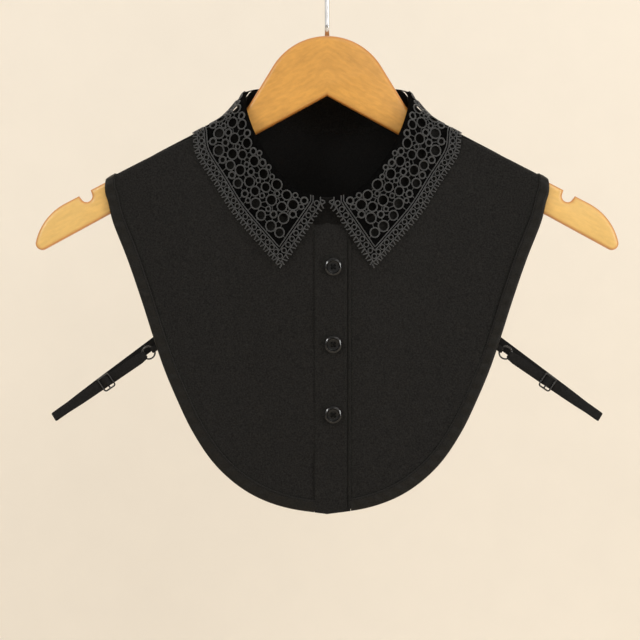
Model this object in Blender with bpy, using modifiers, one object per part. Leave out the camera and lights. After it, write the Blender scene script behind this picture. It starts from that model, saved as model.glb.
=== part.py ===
"""Detachable lace collar with bib fronts on a wooden hanger, for Blender 4.5.

Metres, +Z up, the front toward -Y. The origin is the inner top of the hook, where a rail
carries it. Sizes below are in millimetres, and MM turns them into metres.
"""
import math
import random
from typing import NamedTuple

import bmesh
import bpy
from mathutils import Matrix, Vector
from mathutils.geometry import delaunay_2d_cdt

MM = 0.001
SEAM = 0.3                      # gap kept between pieces that are sewn or laid together

# Hanger
WOOD_TOP = -70.0
WOOD_THICK = 12.0
WOOD_ROUND = 2.0
CROWN_RADIUS = 48.5
CROWN_SWEEP = 58.5
ARM_START = (61.2, -125.6)
ARM_SLOPE = math.radians(27.5)
ARM_UNDERSIDE = -115.6
ARM_CURVE_START = 199.9
END_RADIUS = 43.5
END_CORNER = 5.0
END_HEADINGS = (-78.0, -208.0)  # degrees, where the arm's end meets its corner and its underside
NOTCH_AT = 184.9
NOTCH_HALF = 5.0
NOTCH_DEPTH = 2.6
NOTCH_RADIUS = 4.5
NOTCH_SWEEP = 150.0
HOOK_WIRE = 3.7
HOOK_RADIUS = 19.0
HOOK_STRAIGHT = 28.4
HOOK_LEAN_RADIUS = 4.35
HOOK_LEAN = 60.0                # degrees that the stem bends aside before it rounds the rail
HOOK_END = -8.0

# Cloth over the hanger's arm
WALL = 1.2
RIDGE_GAP = 0.8
RIDGE_FLAT = 3.4
RIDGE_ROUND = 5.0
FRONT_BULGE = (21.0, 100.0)     # depth and the drop where it is deepest
BACK_BULGE = (16.0, 60.0)
BULGE_SPREAD = 70.0
SHOULDER_SEAM = (99.0, 8.4, 0.123)

# Placket and buttons
PLACKET = (-9.6, 17.8)
PLACKET_LIFT = 0.5 + WALL
UNDERLAP = 15.3
BUTTON_X = 4.6
BUTTON_HEIGHTS = (-246.6, -305.3, -358.7)
BUTTON_RADIUS = 6.6

# Binding, and how far the cloth stops short of the silhouette and of the neck seam
BAND = 7.8
BAND_WALL = 1.0
BAND_GAP = 0.5
BAND_CORNER = 0.7
EDGE_TRIM = 1.3
NECK_GAP = 0.5
GUIDE_ROOM = 1.0                # least distance of the leaf's bend lines from its outline

# Lace border, inward from the outermost edge
PICOT_PITCH = 4.6
PICOT_DEPTH = 2.4
BORDER = 12.5
LEAF_RUN = 52.0
RING_CORD = 1.25
FOLD_MARGIN = 2.0
CENTRE_GAP = 0.5
WING_TIP = (34.7, -250.1)
WING_SLOPE = math.radians(55.2)

# How the leaf stands off the panels, from its rolled fold to its free edge
LEAF_REST = SEAM + WALL + 0.25
LEAF_AT_PLACKET = 1.8           # extra height at the centre front
LEAF_AT_PLACKET_REACH = 1.3     # in stations
LEAF_LANDS = (0.85, 0.6)        # share of its width where it rests, in front and on the shoulder
LEAF_PUFF = 1.0
SHOULDER_STATION = 6.0          # where the leaf crosses the shoulder, without any puff
SHOULDER_SPREAD = 1.6
ROLL_AT = 0.075                 # share of its width where the roll is highest
ROLL_FRONT = 1.6
ROLL_GAIN = 0.5                 # for each station, up to ROLL_FULL
ROLL_FULL = 4.0


class Station(NamedTuple):
    """One section of the collar, from the centre front round to the centre back."""
    fold_x: float
    fold_y: float
    fold_z: float
    seam_x: float
    seam_run: float
    edge_x: float
    edge_run: float


STATIONS = (
    Station(0.0, -30.0, -194.4, 0.0, 128.4, 34.7, 146.4),
    Station(21.0, -29.2, -189.0, 26.4, 111.6, 49.0, 123.2),
    Station(35.6, -26.9, -176.0, 44.8, 92.9, 71.7, 85.0),
    Station(47.0, -23.2, -159.0, 59.1, 72.6, 87.3, 52.4),
    Station(55.3, -18.1, -143.5, 69.5, 50.2, 100.0, 25.8),
    Station(60.3, -11.5, -129.5, 75.9, 26.8, 102.9, 12.3),
    Station(62.0, -2.0, -121.0, 78.0, 2.0, 103.2, 0.0),
    Station(60.3, 7.5, -115.0, 76.0, -16.0, 101.0, -15.0),
    Station(55.3, 14.1, -111.5, 69.5, -19.6, 90.0, -28.0),
    Station(35.6, 22.9, -109.3, 44.8, -32.3, 52.0, -53.3),
    Station(0.0, 26.0, -108.8, 0.0, -55.6, 0.0, -80.4),
)
LAST = len(STATIONS) - 1


class RingSize(NamedTuple):
    """One size of lace ring and how far apart two of that size stay."""
    outer: float
    same_spacing: float
    cut: bool


RING_SIZES = (
    RingSize(9.2, 11.5, True),
    RingSize(8.3, 9.4, True),
    RingSize(6.3, 6.6, False),
    RingSize(4.7, 4.9, False),
)

# Half width and height of the silhouette, from the shoulder end down to the hem
FRONT_EDGE = (
    (169.3, -188.0), (166.8, -197.4), (162.9, -213.1), (152.0, -241.0), (141.5, -271.5),
    (132.7, -299.1), (124.2, -323.9), (114.9, -346.2), (103.0, -371.0), (87.9, -393.9),
    (70.7, -410.7), (51.7, -422.4), (29.1, -430.0), (0.0, -434.3),
)
BACK_EDGE = (
    (168.3, -188.0), (163.4, -202.0), (157.2, -218.0), (147.0, -245.0), (137.0, -273.0),
    (128.4, -298.0), (118.6, -322.0), (107.0, -343.0), (92.0, -363.0), (73.0, -382.0),
    (50.0, -396.0), (25.0, -404.5), (0.0, -407.0),
)
SHOULDER_END = (168.6, 0.0)

# Straps, in the plane of the right side
STRAP_WIDTH = 8.0
STRAP_WALL = 1.0
RING_CENTRE = (136.1, -5.2, -311.7)
STRAP_END = (208.9, 0.0, -361.2)
STRAP_BACK = (121.0, 6.2, -295.7)
STRAP_TWIST = math.radians(38.0)
TWIST_FROM = 0.55               # share of the strap's length where the twist starts
STRAP_RING_RADIUS = 4.85
STRAP_RING_WIRE = 0.65
STRAP_AT_RING = 4.6             # width inside the ring, up to NARROW_TO from its centre
NARROW_TO = 5.2
WIDE_FROM = 7.8
SLIDER_AT = 39.5
SLIDER_BAR = 1.0
SLIDER_SLOT = 3.4
SLIDER_HIGH = 12.0
SLIDER_THICK = 1.2
SLIDER_SHIFT = -0.7             # across the strap, so that it stands out below
SLIDER_PITCH = SLIDER_BAR + SLIDER_SLOT
RING_BEND = 1.45                # radius of the elastic's bend round the ring's wire
FOLD_BEND = 0.65


class Layer(NamedTuple):
    """A place of the elastic: distance from the ring, and depth behind the strap's middle."""
    distance: float
    depth: float


FRONT_LAYER = (
    Layer(78.0, -0.5), Layer(66.0, -0.3), Layer(56.0, 0.0), Layer(49.0, 0.4),
    Layer(SLIDER_AT + SLIDER_PITCH + 1.2, 1.3), Layer(SLIDER_AT + SLIDER_PITCH - 0.6, 1.3),
    Layer(SLIDER_AT + 0.6, -1.3), Layer(SLIDER_AT - 0.6, -1.3),
    Layer(SLIDER_AT - SLIDER_PITCH + 0.6, 1.3), Layer(SLIDER_AT - SLIDER_PITCH - 1.2, 1.3),
    Layer(SLIDER_AT - SLIDER_PITCH - 5.0, 0.2), Layer(18.0, -1.2), Layer(9.0, -RING_BEND),
)
RETURN_LAYER = (
    Layer(9.0, RING_BEND), Layer(18.0, 1.5), Layer(28.0, 2.2), Layer(32.5, 2.9),
    Layer(37.5, 3.0),
)
TAB_ENDS = (Layer(-13.0, -1.2), Layer(-9.0, -RING_BEND))


def clear_scene():
    """Remove what the startup file holds."""
    for thing in list(bpy.data.objects):
        bpy.data.objects.remove(thing, do_unlink=True)


def finish(name, color, roughness, metallic=0.0):
    """A Principled material with one plain colour."""
    material = bpy.data.materials.new(name)
    material.use_nodes = True
    shader = material.node_tree.nodes["Principled BSDF"]
    shader.inputs["Base Color"].default_value = (*color, 1.0)
    shader.inputs["Roughness"].default_value = roughness
    shader.inputs["Metallic"].default_value = metallic
    return material


def collection(name):
    """A new collection linked to the scene."""
    group = bpy.data.collections.new(name)
    bpy.context.scene.collection.children.link(group)
    return group


def put(name, data, group, material, smooth=True):
    """Link a mesh or curve to the collection as a named object."""
    thing = bpy.data.objects.new(name, data)
    data.materials.append(material)
    group.objects.link(thing)
    if smooth and hasattr(data, "shade_smooth"):
        data.shade_smooth()
    return thing


# Hanger and body form

def arm_top(x):
    """Height of the hanger arm's top edge."""
    return ARM_START[1] - (abs(x) - ARM_START[0]) * math.tan(ARM_SLOPE)


def ridge(x):
    """Height of the cloth's outer face along the shoulder."""
    return arm_top(x) + RIDGE_GAP + WALL


def bulge(x, drop, depth_and_drop):
    """How far a panel stands out from the hanger's plane below the shoulder."""
    depth, deepest = depth_and_drop
    share = drop / deepest
    return depth * math.exp(-(x / BULGE_SPREAD) ** 2) * share * math.exp(1.0 - share)


TURN = RIDGE_FLAT + RIDGE_ROUND * math.pi / 2


def drape(x, run, lift=0.0):
    """Point at a run over the shoulder (front positive), lifted off the cloth's outer face."""
    side = -1.0 if run >= 0 else 1.0
    length = abs(run)
    top = ridge(x)
    if length <= RIDGE_FLAT:
        return Vector((x, side * length, top + lift)) * MM
    if length < TURN:
        turn = (length - RIDGE_FLAT) / RIDGE_ROUND
        reach = RIDGE_ROUND + lift
        height = top - RIDGE_ROUND + reach * math.cos(turn)
        return Vector((x, side * (RIDGE_FLAT + reach * math.sin(turn)), height)) * MM
    drop = length - TURN
    out = bulge(x, drop, FRONT_BULGE if side < 0 else BACK_BULGE)
    depth = RIDGE_FLAT + RIDGE_ROUND + out + lift
    return Vector((x, side * depth, top - RIDGE_ROUND - drop)) * MM


def run_at(x, height):
    """Run over the front shoulder down to a height."""
    return TURN + ridge(x) - RIDGE_ROUND - height


def foot(point):
    """The run and lift that drape turns into this point, at its own x."""
    x, y, z = point
    side = 1.0 if y < 0 else -1.0
    over = z - (ridge(x) - RIDGE_ROUND)
    out = abs(y) - RIDGE_FLAT
    if over >= 0 and out <= 0:
        return side * abs(y), over - RIDGE_ROUND
    if over >= 0:
        turn = math.atan2(out, over)
        return side * (RIDGE_FLAT + RIDGE_ROUND * turn), math.hypot(out, over) - RIDGE_ROUND
    deep = bulge(x, -over, FRONT_BULGE if side > 0 else BACK_BULGE)
    return side * (TURN - over), out - RIDGE_ROUND - deep


# Flat drawing helpers

def smooth_path(points, steps):
    """Catmull-Rom path through the points, with some steps in each span."""
    ends = [2 * Vector(points[0]) - Vector(points[1])]
    rows = ends + [Vector(p) for p in points]
    rows.append(2 * rows[-1] - rows[-2])
    path = []
    for index in range(1, len(rows) - 2):
        before, start, end, after = rows[index - 1:index + 3]
        for step in range(steps):
            t = step / steps
            path.append(hermite(start, end, (end - before) / 2, (after - start) / 2, t))
    path.append(rows[-2])
    return path


def hermite(start, end, leave, arrive, t):
    """Cubic Hermite value between two points or numbers."""
    square, cube = t * t, t * t * t
    first = start * (2 * cube - 3 * square + 1) + leave * (cube - 2 * square + t)
    return first + end * (3 * square - 2 * cube) + arrive * (cube - square)


def inset(path, distance):
    """Path moved sideways, to the left of its direction when distance is positive."""
    moved = []
    for index, point in enumerate(path):
        ahead = path[min(index + 1, len(path) - 1)]
        behind = path[max(index - 1, 0)]
        along = (ahead - behind).normalized()
        moved.append(point + Vector((-along.y, along.x)) * distance)
    return moved


def clip(path, keep):
    """The stretch of a path where keep is positive, cut where it changes sign."""
    kept = []
    for here, after in zip(path, path[1:]):
        now, then = keep(here), keep(after)
        if now >= 0:
            kept.append(here)
        if now * then < 0:
            kept.append(here.lerp(after, now / (now - then)))
    if keep(path[-1]) >= 0:
        kept.append(path[-1])
    return kept


def thin(path, least, over_ridge=1.9):
    """Drop points closer together than least, or than over_ridge where the cloth bends."""
    kept = [path[0]]
    for point in path[1:-1]:
        step = over_ridge if abs(point.y) < TURN + 2.0 else least
        if (point - kept[-1]).length >= step and (point - path[-1]).length >= step * 0.6:
            kept.append(point)
    kept.append(path[-1])
    return kept


def inside(point, loop):
    """True where the point lies inside a closed loop."""
    hit = False
    for first, second in zip(loop, loop[1:] + loop[:1]):
        if (first.y > point.y) != (second.y > point.y):
            cross = (second.x - first.x) * (point.y - first.y) / (second.y - first.y) + first.x
            if point.x < cross:
                hit = not hit
    return hit


def distance_to(point, loop):
    """Distance from the point to the nearest side of a loop."""
    nearest = 1e9
    for first, second in zip(loop, loop[1:] + loop[:1]):
        along = second - first
        share = max(0.0, min(1.0, (point - first).dot(along) / max(along.length_squared, 1e-9)))
        nearest = min(nearest, (point - first - along * share).length)
    return nearest


def bend_runs():
    """Runs of the lines where cloth bends over the shoulder, from back to front."""
    runs = [RIDGE_FLAT + RIDGE_ROUND * math.radians(turn) for turn in range(0, 91, 30)]
    return [-run for run in reversed(runs)] + [0.0] + runs


def panel_bend(spacing=13.0):
    """Flat lines along a panel's bend."""
    reach = SHOULDER_END[0] - BAND / 2
    count = round(2 * reach / spacing)
    return [[Vector((reach * (2 * i / count - 1), run)) for i in range(count + 1)]
            for run in bend_runs()]


def hole_circles(holes):
    """Middle and radius of each hole."""
    circles = []
    for hole in holes:
        centre = sum(hole, Vector((0.0, 0.0))) / len(hole)
        circles.append((centre, max((p - centre).length for p in hole)))
    return circles


def clear_lines(lines, outline, circles, room):
    """The stretches of lines that stay inside an outline and clear of holes."""
    def free(point):
        return (inside(point, outline) and distance_to(point, outline) > room
                and all((point - centre).length > r + room / 2 for centre, r in circles))

    kept = []
    for line in lines:
        stretch = []
        for point in line:
            here = free(point)
            if stretch and not (here and free(stretch[-1].lerp(point, 0.5))):
                kept.append(stretch)
                stretch = []
            if here:
                stretch.append(point)
        if stretch:
            kept.append(stretch)
    return kept


def inner_points(outline, circles, lines, spacing):
    """A staggered grid of points clear of the outline, of each hole and of the lines."""
    low_x, high_x = min(p.x for p in outline), max(p.x for p in outline)
    low_y, high_y = min(p.y for p in outline), max(p.y for p in outline)
    marks = [point for line in lines for point in line]
    points = []
    for row in range(int((high_y - low_y) / (spacing * 0.87)) + 1):
        for column in range(int((high_x - low_x) / spacing) + 2):
            x = low_x + (column + 0.5 * (row % 2)) * spacing
            point = Vector((x, low_y + (row + 0.5) * spacing * 0.87))
            if not inside(point, outline) or distance_to(point, outline) < spacing * 0.4:
                continue
            if any((point - mark).length < spacing * 0.4 for mark in marks):
                continue
            if all((point - centre).length > r + spacing * 0.25 for centre, r in circles):
                points.append(point)
    return points


def sheet(name, outline, place, group, material, holes=(), spacing=19.0, lines=(), room=0.5):
    """A cloth wall: a flat outline with holes, laid in space by place and given its wall."""
    points = list(outline)
    edges = [(i, (i + 1) % len(outline)) for i in range(len(outline))]
    for hole in holes:
        start = len(points)
        points += hole
        edges += [(start + i, start + (i + 1) % len(hole)) for i in range(len(hole))]
    circles = hole_circles(holes)
    lines = clear_lines(lines, outline, circles, room)
    for line in lines:
        edges += [(len(points) + i, len(points) + i + 1) for i in range(len(line) - 1)]
        points += line
    points += inner_points(outline, circles, lines, spacing)
    flat, _, faces, *_ = delaunay_2d_cdt(points, edges, [], 1, 1e-5)
    work = bmesh.new()
    along = work.verts.layers.float.new("along")
    out = work.verts.layers.float.new("out")
    verts = []
    for point in flat:
        vert = work.verts.new(place(point, 0.0))
        vert[along], vert[out] = point
        verts.append(vert)
    for face in faces:
        middle = sum((flat[i] for i in face), Vector((0.0, 0.0))) / len(face)
        if not any(inside(middle, hole) for hole in holes):
            work.faces.new([verts[i] for i in reversed(face)])
    outer = list(work.faces)
    wall = bmesh.ops.extrude_face_region(work, geom=outer, use_keep_orig=True)
    for item in wall["geom"]:
        if isinstance(item, bmesh.types.BMVert):
            item.co = place(Vector((item[along], item[out])), -WALL)
    loose = [vert for vert in work.verts if not vert.link_faces]
    bmesh.ops.delete(work, geom=loose, context="VERTS")
    bmesh.ops.recalc_face_normals(work, faces=work.faces)
    mesh = bpy.data.meshes.new(name)
    work.to_mesh(mesh)
    work.free()
    return put(name, mesh, group, material)


def swept(name, rings, group, material, smooth=False):
    """A closed solid through matching sections, capped at both ends."""
    work = bmesh.new()
    rows = [[work.verts.new(point) for point in ring] for ring in rings]
    count = len(rows[0])
    for row, after in zip(rows, rows[1:]):
        for i in range(count):
            j = (i + 1) % count
            work.faces.new((row[i], row[j], after[j], after[i]))
    work.faces.new(list(reversed(rows[0])))
    work.faces.new(rows[-1])
    bmesh.ops.recalc_face_normals(work, faces=work.faces)
    mesh = bpy.data.meshes.new(name)
    work.to_mesh(mesh)
    work.free()
    return put(name, mesh, group, material, smooth)


# Hanger

def heading_arc(start, radius, first, last, steps):
    """Points of a clockwise arc whose heading turns from first to last, in degrees."""
    points = []
    for step in range(1, steps + 1):
        turn = math.radians(first + (last - first) * step / steps)
        begin = math.radians(first)
        points.append((start[0] + radius * (math.sin(begin) - math.sin(turn)),
                       start[1] + radius * (math.cos(turn) - math.cos(begin))))
    return points


def arm_outline():
    """Right half of the wood's outline, from the crown's top round to the underside's apex."""
    points = []
    for step in range(9):
        turn = math.radians(CROWN_SWEEP) * step / 8
        height = WOOD_TOP - CROWN_RADIUS * (1 - math.cos(turn))
        points.append((CROWN_RADIUS * math.sin(turn), height))
    points.append(ARM_START)
    along = Vector((math.cos(ARM_SLOPE), -math.sin(ARM_SLOPE)))
    up = Vector((-along.y, along.x))
    mouth = Vector((NOTCH_AT, arm_top(NOTCH_AT)))
    points.append(tuple(mouth - along * NOTCH_HALF))
    centre = mouth - up * NOTCH_DEPTH
    first = math.degrees(math.atan2(up.y, up.x)) + 180.0 - NOTCH_SWEEP / 2
    for step in range(8):
        turn = math.radians(first + NOTCH_SWEEP * step / 7)
        points.append((centre.x + NOTCH_RADIUS * math.cos(turn),
                       centre.y + NOTCH_RADIUS * math.sin(turn)))
    points.append(tuple(mouth + along * NOTCH_HALF))
    bend = (ARM_CURVE_START, arm_top(ARM_CURVE_START))
    points.append(bend)
    slope = -math.degrees(ARM_SLOPE)
    points += heading_arc(bend, END_RADIUS, slope, END_HEADINGS[0], 6)
    points += heading_arc(points[-1], END_CORNER, *END_HEADINGS, 6)
    points.append((0.0, ARM_UNDERSIDE))
    return points


def build_hanger(group, wood, chrome):
    """The flat wooden hanger and its wire hook."""
    half = arm_outline()
    loop = half + [(-x, z) for x, z in reversed(half[1:-1])]
    curve = bpy.data.curves.new("hanger_wood", "CURVE")
    curve.dimensions = "2D"
    curve.fill_mode = "BOTH"
    curve.extrude = (WOOD_THICK / 2 - WOOD_ROUND) * MM
    curve.bevel_depth = WOOD_ROUND * MM
    curve.bevel_resolution = 1
    curve.offset = -WOOD_ROUND * MM
    line = curve.splines.new("POLY")
    line.points.add(len(loop) - 1)
    for point, (x, z) in zip(line.points, loop):
        point.co = (x * MM, z * MM, 0.0, 1.0)
    line.use_cyclic_u = True
    arm = put("hanger_wood", curve, group, wood)
    arm.rotation_euler = (math.pi / 2, 0.0, 0.0)

    base = WOOD_TOP + SEAM
    centre = HOOK_WIRE / 2 - HOOK_RADIUS
    path = [(0.0, base), (0.0, WOOD_TOP + HOOK_STRAIGHT * 0.5)]
    bend = WOOD_TOP + HOOK_STRAIGHT
    for step in range(5):
        turn = math.radians(HOOK_LEAN) * step / 4
        path.append((-HOOK_LEAN_RADIUS * (1 - math.cos(turn)),
                     bend + HOOK_LEAN_RADIUS * math.sin(turn)))
    for step in range(25):
        turn = math.radians(180.0 + HOOK_LEAN + (HOOK_END - 180.0 - HOOK_LEAN) * step / 24)
        path.append((HOOK_RADIUS * math.cos(turn), centre + HOOK_RADIUS * math.sin(turn)))
    wire = bpy.data.curves.new("hanger_hook", "CURVE")
    wire.dimensions = "3D"
    wire.bevel_depth = HOOK_WIRE / 2 * MM
    wire.bevel_resolution = 2
    wire.use_fill_caps = True
    line = wire.splines.new("POLY")
    line.points.add(len(path) - 1)
    for point, (x, z) in zip(line.points, path):
        point.co = (x * MM, 0.0, z * MM, 1.0)
    put("hanger_hook", wire, group, chrome)


# Panels

def seam_run(x):
    """Run of the shoulder seam: in front of the ridge at the neck, on it at the end."""
    reference, run, slope = SHOULDER_SEAM
    return run - (abs(x) - reference) * slope


def edge_path(rows, front, extent):
    """Silhouette from the hem's centre up to the shoulder's end, in x and run."""
    sign = 1.0 if front else -1.0
    points = [(x, sign * run_at(x, z)) for x, z in reversed(rows)]
    points.append(SHOULDER_END)
    path = smooth_path(points, 4)
    mirrored = [Vector((-p.x, p.y)) for p in reversed(path[1:])]
    return thin(mirrored + path, extent)


def neck_stations(first, last):
    """Stations along the neck seam, close together where it crosses the shoulder."""
    stations = [first]
    while stations[-1] < last - 0.02:
        step = 0.125 if 5.1 < stations[-1] < 7.4 else 1 / 3
        stations.append(min(stations[-1] + step, last))
    return stations


def front_outline(centre):
    """Outline of a front panel to the right of its centre edge."""
    edge = inset(edge_path(FRONT_EDGE, True, 9.0), -EDGE_TRIM)
    edge = clip(edge, lambda p: p.x - centre)
    edge = clip(edge, lambda p: p.y - seam_run(p.x))
    neck = inset([Vector(seam_at(i)) for i in neck_stations(-1.0, 6.2)], NECK_GAP)
    neck = clip(clip(neck, lambda p: p.x - centre), lambda p: p.y - seam_run(p.x))
    shoulder = [edge[-1].lerp(neck[-1], i / 16) for i in range(1, 16)]
    down = [neck[0].lerp(edge[0], i / 14) for i in range(1, 14)]
    return edge + shoulder + list(reversed(neck)) + down


def build_panels(group, cloth):
    """The two fronts, the back and the button placket."""
    def place(flat, lift):
        return drape(flat.x, flat.y, lift)

    left = [Vector((-p.x, p.y)) for p in reversed(front_outline(-UNDERLAP))]
    sheet("front_left", left, place, group, cloth, lines=panel_bend())
    right = front_outline(UNDERLAP + SEAM)
    sheet("front_right", right, place, group, cloth, lines=panel_bend())

    edge = inset(edge_path(BACK_EDGE, False, 11.0), EDGE_TRIM)
    edge = clip(clip(edge, lambda p: -p.x), lambda p: seam_run(p.x) - SEAM - p.y)
    neck = [Vector(seam_at(i)) for i in reversed(neck_stations(5.0, LAST))]
    neck = clip(inset(neck, -NECK_GAP), lambda p: seam_run(p.x) - SEAM - p.y)
    end = Vector((-edge[0].x, edge[0].y))
    shoulder = [neck[-1].lerp(end, i / 16) for i in range(1, 16)]
    half = neck + shoulder + [Vector((-p.x, p.y)) for p in edge]
    whole = half + [Vector((-p.x, p.y)) for p in reversed(half[1:-1])]
    sheet("back_panel", whole, place, group, cloth, lines=panel_bend())

    low, high = PLACKET
    hem = [p for p in edge_path(FRONT_EDGE, True, 5.0) if p.y > 200]
    hem = clip(clip(hem, lambda p: p.x - low), lambda p: high - p.x)
    neck = inset([Vector(seam_at(i / 6)) for i in range(-6, 7)], NECK_GAP)
    neck = clip(clip(neck, lambda p: p.x - low), lambda p: high - p.x)
    down = [neck[0].lerp(hem[0], i / 15) for i in range(1, 15)]
    up = [hem[-1].lerp(neck[-1], i / 15) for i in range(1, 15)]
    sheet("placket", down + hem + up + list(reversed(neck)),
          lambda flat, lift: drape(flat.x, flat.y, PLACKET_LIFT + lift), group, cloth)


BAND_PROFILE = (                # inward from the silhouette, and lift off the cloth
    (BAND, BAND_GAP + BAND_WALL), (BAND_CORNER, BAND_GAP + BAND_WALL),
    (0.0, BAND_GAP + BAND_WALL - BAND_CORNER), (0.0, -WALL), (BAND_WALL, -WALL),
    (BAND_WALL, BAND_GAP), (BAND, BAND_GAP),
)


def band(name, path, inward, group, material, upright=False):
    """A binding folded over a panel's edge along a path in x and run."""
    rings = []
    for index, point in enumerate(path):
        ahead = path[min(index + 1, len(path) - 1)]
        behind = path[max(index - 1, 0)]
        along = (ahead - behind).normalized()
        across = Vector((-along.y, along.x)) * inward
        if upright and index == 0:
            across = Vector((0.0, across.y))
        ring = []
        for depth, lift in BAND_PROFILE:
            at = point + across * depth
            ring.append(drape(at.x, at.y, lift))
        rings.append(ring)
    swept(name, rings, group, material, True)


def build_bindings(group, satin):
    """Bindings along both fronts and round the back."""
    whole = edge_path(FRONT_EDGE, True, 9.0)
    gap = SEAM / 2
    right = clip(whole, lambda p: p.x - PLACKET[1] - SEAM)
    right = clip(right, lambda p: p.y - seam_run(p.x) - gap)
    band("binding_right", right, -1.0, group, satin, True)
    left = clip(whole, lambda p: PLACKET[0] - SEAM - p.x)
    left = clip(left, lambda p: p.y - seam_run(p.x) - gap)
    band("binding_left", list(reversed(left)), 1.0, group, satin, True)
    back = clip(edge_path(BACK_EDGE, False, 11.0), lambda p: seam_run(p.x) - gap - p.y)
    band("binding_back", back, 1.0, group, satin)


# Collar

def mirror_row(row):
    """A station seen on the other side of the centre."""
    return Station(-row.fold_x, row.fold_y, row.fold_z, -row.seam_x, row.seam_run,
                   -row.edge_x, row.edge_run)


def before_first():
    """The station ahead of the centre front: mirrored at the fold, carried on at the edge."""
    first, second = STATIONS[0], STATIONS[1]
    mirrored = mirror_row(second)
    return mirrored._replace(edge_x=2 * first.edge_x - second.edge_x,
                             edge_run=2 * first.edge_run - second.edge_run)


ROWS = (before_first(), *STATIONS, mirror_row(STATIONS[-2]))


def column(name, station):
    """One column of the stations, smoothly between rows; it carries on past the first row."""
    index = max(0, min(LAST - 1, math.floor(station)))
    start, end = getattr(ROWS[index + 1], name), getattr(ROWS[index + 2], name)
    before = getattr(ROWS[index], name)
    after = getattr(ROWS[min(index + 3, len(ROWS) - 1)], name)
    leave, arrive = (end - before) / 2, (after - start) / 2
    if station < 0:
        return start + leave * station
    return hermite(start, end, leave, arrive, station - index)


def fold_at(station):
    """The fold's inner contour."""
    return tuple(column(name, station) for name in ("fold_x", "fold_y", "fold_z"))


def seam_at(station):
    """The neck seam in x and run."""
    if station < 0:
        x, run = seam_at(-station)
        return -x, run
    return column("seam_x", station), column("seam_run", station)


def leaf(station, share, lift=0.0):
    """Outer face of the lace leaf, from the fold (share 0) to the outer edge (share 1)."""
    x, y, z = fold_at(station)
    run, height = foot((x, y, z))
    height += 2 * WALL + 2 * SEAM
    front = math.exp(-(max(station, 0.0) / LEAF_AT_PLACKET_REACH) ** 2)
    rest = LEAF_REST + LEAF_AT_PLACKET * front
    edge_x, edge_run = column("edge_x", station), column("edge_run", station)
    shoulder = math.exp(-((station - SHOULDER_STATION) / SHOULDER_SPREAD) ** 2)
    lands = LEAF_LANDS[0] + (LEAF_LANDS[1] - LEAF_LANDS[0]) * shoulder
    fall = max(0.0, 1.0 - max(share, 0.0) / lands)
    settle = fall * fall * (3.0 - 2.0 * fall)
    roll = (ROLL_FRONT + ROLL_GAIN * min(station, ROLL_FULL)) * max(share, 0.0) / ROLL_AT
    puff = LEAF_PUFF * (1.0 - shoulder) * math.sin(math.pi * min(max(share, 0.0), 1.0))
    rise = rest + (height - rest) * settle + puff + roll * math.exp(1.0 - share / ROLL_AT) + lift
    return drape(x + (edge_x - x) * share, run + (edge_run - run) * share, rise)


def station_runs():
    """Cumulative length of the leaf from the centre front, three fifths of the way out."""
    steps = 10 * LAST
    points = [leaf(i / 10, 0.6) / MM for i in range(steps + 1)]
    total, lengths = 0.0, [0.0]
    for here, after in zip(points, points[1:]):
        total += (after - here).length
        lengths.append(total)
    return lengths


def station_at(along):
    """Station for a length along the leaf."""
    if along <= 0:
        return along / LENGTHS[10]
    for index in range(len(LENGTHS) - 1):
        if along <= LENGTHS[index + 1]:
            step = LENGTHS[index + 1] - LENGTHS[index]
            return (index + (along - LENGTHS[index]) / step) / 10
    return float(LAST)


def leaf_point(flat, lift=0.0):
    """Outer face of the leaf from flat sizes: along it, and out from the fold."""
    return leaf(station_at(flat.x), flat.y / LEAF_RUN, lift)


def frame_at(flat):
    """Two flat steps that move 1 mm along and 1 mm square to it on the leaf."""
    here = leaf_point(flat)
    step = -0.25 if flat.x > LENGTHS[-1] - 0.5 else 0.25
    along = (leaf_point(flat + Vector((step, 0.0))) - here) / step / MM
    out = (leaf_point(flat + Vector((0.0, 0.25))) - here) / 0.25 / MM
    length = along.length
    lean = out.dot(along) / length
    square = math.sqrt(max(out.length_squared - lean * lean, 1e-6))
    return Vector((1 / length, 0)), Vector((-lean / length, 1.0)) / square


def on_leaf(flat, right, down):
    """Flat point at a distance along and square to the leaf's run."""
    first, second = frame_at(flat)
    return flat + first * right + second * down


def front_limit(out, depth):
    """Along-value of the wing's front edge, some depth inside it, for a distance from the fold."""
    low, high = -30.0, 30.0
    for _ in range(24):
        middle = (low + high) / 2
        point = leaf_point(Vector((middle, out))) / MM
        clear = point.x - CENTRE_GAP - depth
        offset = (point.x - WING_TIP[0]) * math.sin(WING_SLOPE)
        offset += (point.z - WING_TIP[1]) * math.cos(WING_SLOPE)
        if min(clear, offset - depth) > 0:
            high = middle
        else:
            low = middle
    return high


def outer_limit(along, depth):
    """Out-value of the outer edge, some depth inside it."""
    at = Vector((along, LEAF_RUN))
    for _ in range(3):
        at = Vector((along, LEAF_RUN - depth * frame_at(at)[1].y))
    return at.y


def border(depth, spacing):
    """Flat path inside the leaf's outline: down the wing's front edge and round to the back."""
    corner = Vector((0.0, LEAF_RUN - depth))
    for _ in range(12):
        corner = Vector((front_limit(corner.y, depth), corner.y))
        corner = Vector((corner.x, outer_limit(corner.x, depth)))
    count = max(2, round(corner.y / spacing))
    front = [Vector((front_limit(corner.y * i / count, depth), corner.y * i / count))
             for i in range(count)]
    length = LENGTHS[-1] - corner.x
    count = round(length / spacing)
    outer = []
    for i in range(count + 1):
        along = corner.x + length * i / count
        outer.append(Vector((along, outer_limit(along, depth))))
    return front, [corner] + outer[1:]


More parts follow.
